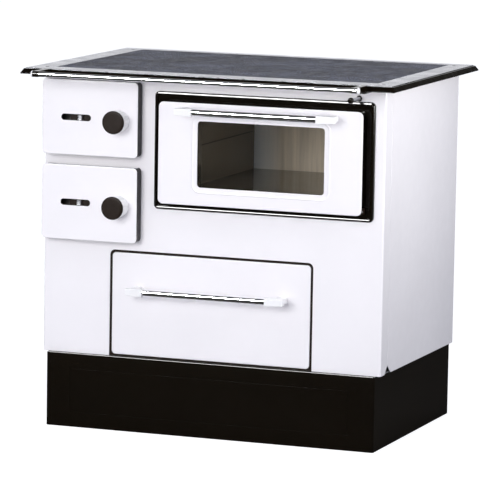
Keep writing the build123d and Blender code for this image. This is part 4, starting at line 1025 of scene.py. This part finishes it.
# ------------------------------------------------------------------ oven
class COOKSTOVE_OT_oven(Operator):
    """Press the black surround and the oven door's white face, and set the glass"""

    bl_idname = "cookstove.oven"
    bl_label = "Oven"

    def execute(self, context):
        sizes = context.scene.cookstove_sizes
        self.surround(sizes)
        self.door_face(sizes)
        soften_node("oven_door_casing", "oven_door_tray", 0.6 * MM, "black_enamel")
        pane = rounded_slab("oven_window_pane", *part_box("oven_glass"), Y_AXIS, 6 * MM, 5)
        soften_edges(pane, 0.4 * MM)
        dress(pane, "oven_door", "oven_window", "oven_glass")
        soften_node("oven_seal", "oven_rope_seal", 0.8 * MM, "rope_gasket")
        soften_node("oven_hinge_brackets", "oven_hinge_lugs", 0.5 * MM, "black_handle", slot="plain_steel")
        finish_nodes("oven_enamel", "oven_box")
        finish_nodes("plain_steel", "oven_hinge_pins")
        return {"FINISHED"}

    def surround(self, sizes):
        """The black surround: a rounded bead round a sunk flat field, open at the oven's mouth."""
        low, high, middle = span("oven_surround")
        wall, bead, flat, inner_rounding, field_area = 3 * MM, 8 * MM, 2.5 * MM, 3 * MM, 0.05
        ring = rounded_slab("oven_surround_frame", low, high, Y_AXIS, 11 * MM)
        inset_faces(ring, FRONT_FACES, bead)
        sink = (0, high.y - flat - low.y, 0)
        extrude_faces(ring, lambda face: face.normal.y < -0.9 and face.calc_area() > field_area, sink)

        def crest_edges(outward):
            """Test for the crest's outer edges, or for its inner ones."""

            def test(edge):
                away = edge_spot(edge) - middle
                sides = [face for face in edge.link_faces if abs(face.normal.y) < 0.5]
                return lies_at(edge, low.y) and any(face.normal.dot(away) * outward > 0 for face in sides)

            return test

        bevel_edges(ring, crest_edges(1), sizes.bead_radius, 3)
        bevel_edges(ring, crest_edges(-1), inner_rounding, 3)
        mouth_low, mouth_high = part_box("oven_box")
        carve(ring, face_slab("cut", mouth_low, mouth_high, -wall, low.y - PAST, high.y + PAST, 2 * MM, 3))
        soften_edges(ring, 0.4 * MM, 2, 50)
        smooth(ring, 14)
        dress(ring, "stove", "black_enamel", "oven_surround")

    def door_face(self, sizes):
        """The door's white face, with a bead pressed round the window."""
        low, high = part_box("oven_door_plate")
        glass_low, glass_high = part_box("oven_glass")
        bead_height, lap, corner = 1.2 * MM, 12 * MM, 8 * MM
        front = low.y + bead_height
        window = [Vector(spot) for spot in grown(glass_low, glass_high, -lap, 0, -lap)]
        middle = (window[0] + window[1]) / 2
        face = rounded_slab("oven_door_face", (low.x, front, low.z), high, Y_AXIS, sizes.oven_door_corner)
        bevel_face_rim(face, FRONT_FACES, sizes.door_edge, 5)
        reach, sink, least_field, last_ring = 15 * MM, 0.05 * MM, 0.04, 8.4 * MM
        carve(face, face_slab("cut", *window, reach, front - PAST, front + sink, corner + reach, 10))

        def innermost(part):
            """Test for the flat face in the middle of the rings that were inset so far."""
            off = part.calc_center_bounds() - middle
            centred = abs(off.x) < 1 * MM and abs(off.z) < 1 * MM
            wide = part.calc_area() > least_field and len(part.verts) > 12
            return centred and wide and part.normal.y < -0.999

        # The bead's profile, from its outer foot inwards: ring widths and rises in millimetres.
        steps = ((1.2, -0.35), (1.0, -0.65), (0.8, -0.25), (0.8, 0.0), (0.8, 0.25), (1.0, 0.65), (1.2, 0.35))
        for width, rise in steps:
            inset_faces(face, innermost, width * MM, -rise * MM)
        inset_faces(face, innermost, last_ring)
        carve(face, face_slab("cut", *window, 0, front - PAST, high.y + PAST, corner))
        soften_edges(face, 0.5 * MM, 3, 60)
        dress(face, "oven_door", "white_enamel", "oven_door_plate")


# ------------------------------------------------------------------ handles and drawer
SOCKET = 152 * MM  # from a handle's middle to the inner face of its white ends


class COOKSTOVE_OT_handles(Operator):
    """Turn the two chrome bars and shape their white moulded ends"""

    bl_idname = "cookstove.handles"
    bl_label = "Handles"

    def execute(self, context):
        rounding = context.scene.cookstove_sizes.handle_rounding
        groove_start, groove_end, groove_depth = 0.4 * MM, 2.2 * MM, 0.5 * MM
        for name, body in (("oven", "oven_door"), ("drawer", "drawer")):
            low, high, middle = span(name + "_handle_bar")
            bar = add_rod(name + "_handle_tube", middle, "X", low.x, high.x, (high.z - low.z) / 2)
            for side in (-1, 1):
                socket = middle.x + side * SOCKET
                ring_bar(bar, socket, -side, groove_start, groove_end, -groove_depth)
            soften_edges(bar, 0.25 * MM)
            dress(bar, body, "bright_chrome", name + "_handle_bar")
            low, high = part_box(name + "_handle_ends")
            ends = [self.end(side, middle, low, high, rounding) for side in (-1, 1)]
            dress(join(ends, name + "_handle_mounts"), body, "white_handle", name + "_handle_ends")
        return {"FINISHED"}

    def end(self, side, middle, low, high, rounding):
        """One white end: a rounded grip head that narrows to a foot on the panel."""
        half = (high.z - low.z) / 2
        back = middle.y + half
        far = high.x if side > 0 else low.x
        left, right = sorted((middle.x + side * SOCKET, far))
        end = add_block("end", (left, low.y, middle.z - half), (right, back, middle.z + half))
        taper, foot_start, foot_end = 0.8, 3 * MM, 25 * MM
        resize_faces(end, faces_towards(side * X_AXIS), (1, taper, taper), (far, back, middle.z))
        foot = (far - side * foot_start, far - side * foot_end)
        slice_mesh(end, X_AXIS, *foot)

        def sole(face):
            return face.normal.y > 0.9 and min(foot) < face.calc_center_median().x < max(foot)

        # The foot narrows over the first share of its height and widens again over the second.
        waist, base = (0.45, (0.80, 1, 0.84), back), (0.55, (1.12, 1, 1.10), high.y)
        with picked(end, "FACE", sole):
            for share, size, depth in (waist, base):
                move = (0, (high.y - back) * share, 0)
                bpy.ops.mesh.extrude_region_move(TRANSFORM_OT_translate={"value": move})
                bpy.ops.transform.resize(value=size, center_override=(sum(foot) / 2, depth, middle.z))
        run_modifier(
            end, "BEVEL", "Moulded edges", width=rounding, segments=6, limit_method="ANGLE",
            angle_limit=math.radians(50), use_clamp_overlap=True, profile=0.6,
        )
        smooth(end, 60)
        return end


class COOKSTOVE_OT_drawer(Operator):
    """Press the drawer's white front with a dark lining of painted shade on its edge, and finish its box and
    runners
    """

    bl_idname = "cookstove.drawer"
    bl_label = "Drawer"

    def execute(self, context):
        sizes = context.scene.cookstove_sizes
        low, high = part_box("drawer_front")
        corner = 9 * MM
        front = rounded_slab("drawer_face", low, high, Y_AXIS, corner)
        bevel_face_rim(front, FRONT_FACES, 1.6 * MM, 5)
        remove_faces(front, faces_towards(Y_AXIS))
        thicken(front, sizes.sheet)
        soften_edges(front, sizes.sheet_edge, 2, 60)
        dress(front, "drawer", "white_enamel", "drawer_front")
        skin, wall, lip = 0.2 * MM, 0.3 * MM, 2.4 * MM
        # Painted shade: a dark lining on the drawer front's edge, which makes the gap look black.
        lining = face_slab("drawer_edge_lining", low, high, skin, low.y + lip, high.y, corner + skin)
        hole = face_slab("cut", low, high, -wall, low.y - PAST, high.y + PAST, corner - wall)
        add_painted_shade_ring(lining, hole, "drawer")
        soften_node("drawer_box", "drawer_tray", 0.4 * MM, "plain_steel")
        finish_nodes("plain_steel", "drawer_runner_left", "drawer_runner_right")
        return {"FINISHED"}


# ------------------------------------------------------------------ damper, firebox and back
class COOKSTOVE_OT_damper(Operator):
    """Turn the damper's dark knob and its bush"""

    bl_idname = "cookstove.damper"
    bl_label = "Damper"

    def execute(self, context):
        low, high, middle = span("damper_knob")
        knob = add_rod("damper_pull", middle, "Y", low.y, high.y, (high.x - low.x) / 2, 40)
        slice_mesh(knob, Y_AXIS, middle.y)
        taper = 0.66
        resize_faces(knob, lambda face: abs(face.normal.y) > 0.9, (taper, 1, taper), middle)
        bevel_edges(knob, lambda edge: lies_at(edge, middle.y), 5 * MM, 8)
        bevel_face_rim(knob, FRONT_FACES, 1.6 * MM, 4)
        smooth(knob, 50)
        dress(knob, "damper", "black_enamel", "damper_knob", slot="black_handle")
        soften_node("damper_bush", "damper_guide", 0.6 * MM, "black_enamel", 3, slot="plain_steel")
        finish_nodes("polished_steel", "damper_rod")
        finish_nodes("dark_sheet", "damper_flap")
        return {"FINISHED"}


class COOKSTOVE_OT_fire_parts(Operator):
    """Finish the firebox, bricks, grate, ash pan, smoke casing, flue and back"""

    bl_idname = "cookstove.fire_parts"
    bl_label = "Firebox and back"

    def execute(self, context):
        cast_edge = context.scene.cookstove_sizes.cast_edge
        soften_node("firebricks", "fireclay_lining", 2 * MM, "firebrick", 3)
        soften_node("fire_grate", "cast_grate", cast_edge, "cast_iron_dark", 3)
        soften_node("flue_collar", "flue_spigot", 0.7 * MM, "dark_sheet")
        soften_node("ash_pan", "ash_tray", 0.4 * MM, "plain_steel")
        finish_nodes("plain_steel", "back_screws", "base_pan", "back_panel")
        soften_node("ash_pan_bail", "ash_tray_bail", 0.8 * MM, "plain_steel", 3)
        finish_nodes("dark_sheet", "firebox_shell", "gas_casing", "gas_baffle")
        return {"FINISHED"}


# ------------------------------------------------------------------ stage
class COOKSTOVE_OT_stage(Operator):
    """Set the pale floor, the soft lights and the camera"""

    bl_idname = "cookstove.stage"
    bl_label = "Stage"

    def execute(self, context):
        stage = context.scene.cookstove_stage
        context.scene.view_settings.view_transform = "Standard"
        self.floor(stage)
        self.world(context, stage)
        self.lamps(stage)
        self.camera(context, stage)
        return {"FINISHED"}

    def floor(self, stage):
        """A pale floor that glows for the camera and looks dark in what shines."""
        begin()
        bpy.ops.mesh.primitive_plane_add(size=60, location=(0, 0, -0.5 * MM))
        floor = settle(bpy.context.active_object, "studio_floor")
        material = bpy.data.materials.new("pale_floor")
        material.use_nodes = True
        nodes = Nodes(material.node_tree)
        ray = nodes.node("LightPath").outputs
        in_gloss, glow = (0.07, 0.066, 0.06), 0.80
        grain = nodes.node("TexNoise", Scale=30).outputs["Fac"]
        tint = nodes.blend(grain, shade(stage.floor, 0.98), stage.floor)
        nodes.fill(
            nodes.tree.nodes["Principled BSDF"], Roughness=0.9, Specular_IOR_Level=0.0,
            Base_Color=nodes.blend(ray["Is Glossy Ray"], tint, in_gloss), Emission_Color=(1, 1, 1),
            Emission_Strength=nodes.maths("MULTIPLY", ray["Is Camera Ray"], glow),
        )
        floor.data.materials.append(material)

    def world(self, context, stage):
        """White for the camera, soft light on the stove, and a studio's walls for what shines."""
        world = bpy.data.worlds.new("studio")
        context.scene.world = world
        world.use_nodes = True
        nodes = Nodes(world.node_tree)
        ray = nodes.node("LightPath").outputs
        way = nodes.parts(nodes.node("TexCoord").outputs["Generated"])
        across, deep, height = (nodes.spread(way[axis], -1, 1) for axis in "XYZ")
        # Heights run from 0 below to 1 above: a bright strip on a dark front wall, and a bright back wall.
        front_wall = nodes.ramp(height, ((0.0, 0.03), (0.68, 0.03), (0.71, 1.1), (0.82, 1.1), (0.84, 0.02)))
        back_wall = nodes.ramp(
            height, ((0.0, 0.04), (0.5, 0.85), (0.66, 0.85), (0.80, 0.05), (0.92, 0.05), (0.98, 0.6))
        )
        # The walls meet half way round, and the right side is dark.
        behind = nodes.ramp(deep, ((0.42, 0.0), (0.60, 1.0)))
        right = nodes.ramp(across, ((0.52, 0.0), (0.60, 1.0)))
        reflected = nodes.blend(right, nodes.blend(behind, front_wall, back_wall), (0.03, 0.03, 0.03))
        light = nodes.blend(ray["Is Glossy Ray"], stage.sky, reflected)
        seen = nodes.maths("MAXIMUM", ray["Is Camera Ray"], ray["Is Transmission Ray"])
        nodes.fill(nodes.tree.nodes["Background"], Color=nodes.blend(seen, light, (1, 1, 1)), Strength=1.0)

    def lamps(self, stage):
        """A soft front lamp, a narrow one on the right, and a strip that only lights what shines."""
        key = self.lamp("key_softbox", stage.key_power, 1.6, at=(-0.45, -3.49, 1.25), to=(-0.3, -0.23, 0.80))
        key.visible_glossy = False
        side = self.lamp("side_softbox", stage.side_power, 0.6, at=(1.6, -0.40, 0.97), to=(0.42, 0.0, 0.93))
        side.data.spread = math.radians(105)
        glint = self.lamp(
            "glint_strip", stage.sparkle_power, 2.6, at=(-1.1, -3.87, 2.17), to=(-1.1, -0.37, 0.67)
        )
        glint.visible_diffuse = False
        glint.data.shape = "RECTANGLE"
        glint.data.size_y = 0.8

        # The strip doesn't light the plate and the band, which would look white from behind.
        unlit = bpy.data.collections.new("out_of_the_glint")
        for piece in ("hot_plate", "polished_band"):
            unlit.objects.link(bpy.data.objects[piece])
        glint.light_linking.receiver_collection = unlit
        for member in unlit.collection_objects:
            member.light_linking.link_state = "EXCLUDE"

    def lamp(self, name, power, size, at, to):
        """A square soft lamp that stands at one place and faces to another."""
        light = bpy.data.lights.new(name, "AREA")
        light.size = size
        light.spread = math.radians(180)
        light.energy = power
        lamp = bpy.data.objects.new(name, light)
        lamp.location = at
        lamp.rotation_euler = (Vector(to) - Vector(at)).to_track_quat("-Z", "Y").to_euler()
        bpy.context.scene.collection.objects.link(lamp)
        return lamp

    def camera(self, context, stage):
        """The camera of the photograph: its place, turned by yaw, pitch and roll."""
        yaw, pitch, roll = stage.yaw, stage.pitch, stage.roll
        level = math.cos(pitch)
        forward = Vector((-math.sin(yaw) * level, math.cos(yaw) * level, -math.sin(pitch)))
        right = Vector((math.cos(yaw), math.sin(yaw), 0))
        up = right.cross(forward)
        rolled_right = right * math.cos(roll) + up * math.sin(roll)
        rolled_up = up * math.cos(roll) - right * math.sin(roll)
        lens = bpy.data.cameras.new("photo_camera")
        lens.sensor_width = 36
        lens.lens = stage.lens
        lens.clip_end = 200
        camera = bpy.data.objects.new("photo_camera", lens)
        turn = Matrix((rolled_right, rolled_up, -forward)).transposed().to_4x4()
        camera.matrix_world = Matrix.Translation(stage.place) @ turn
        context.scene.collection.objects.link(camera)
        context.scene.camera = camera


# ------------------------------------------------------------------ panel and run
BUILD_STEPS = (
    COOKSTOVE_OT_finishes,
    COOKSTOVE_OT_plinth,
    COOKSTOVE_OT_front_panel,
    COOKSTOVE_OT_side_panels,
    COOKSTOVE_OT_hob,
    COOKSTOVE_OT_towel_rail,
    COOKSTOVE_OT_small_doors,
    COOKSTOVE_OT_oven,
    COOKSTOVE_OT_handles,
    COOKSTOVE_OT_drawer,
    COOKSTOVE_OT_damper,
    COOKSTOVE_OT_fire_parts,
    COOKSTOVE_OT_stage,
)
SETTINGS = {
    "cookstove_colours": CookstoveColours,
    "cookstove_sizes": CookstoveSizes,
    "cookstove_stage": CookstoveStage,
}


class COOKSTOVE_PT_pieces(Panel):
    """Lists the cookstove's pieces and settings"""

    bl_idname = "COOKSTOVE_PT_pieces"
    bl_label = "Wood cookstove"
    bl_space_type = "VIEW_3D"
    bl_region_type = "UI"
    bl_category = "Cookstove"

    def draw(self, context):
        for step in BUILD_STEPS:
            self.layout.operator(step.bl_idname)
        for name, group in SETTINGS.items():
            box = self.layout.box()
            for field in group.__annotations__:
                box.prop(getattr(context.scene, name), field)


def register():
    for group in SETTINGS.values():
        bpy.utils.register_class(group)
    for name, group in SETTINGS.items():
        setattr(bpy.types.Scene, name, PointerProperty(type=group))
    for step in BUILD_STEPS:
        bpy.utils.register_class(step)
    bpy.utils.register_class(COOKSTOVE_PT_pieces)


def unregister():
    bpy.utils.unregister_class(COOKSTOVE_PT_pieces)
    for step in reversed(BUILD_STEPS):
        bpy.utils.unregister_class(step)
    for name in SETTINGS:
        delattr(bpy.types.Scene, name)
    for group in reversed(list(SETTINGS.values())):
        bpy.utils.unregister_class(group)


def main():
    register()
    for step in BUILD_STEPS:
        group, action = step.bl_idname.split(".")
        getattr(getattr(bpy.ops, group), action)()
    begin()


if __name__ == "__main__":
    main()
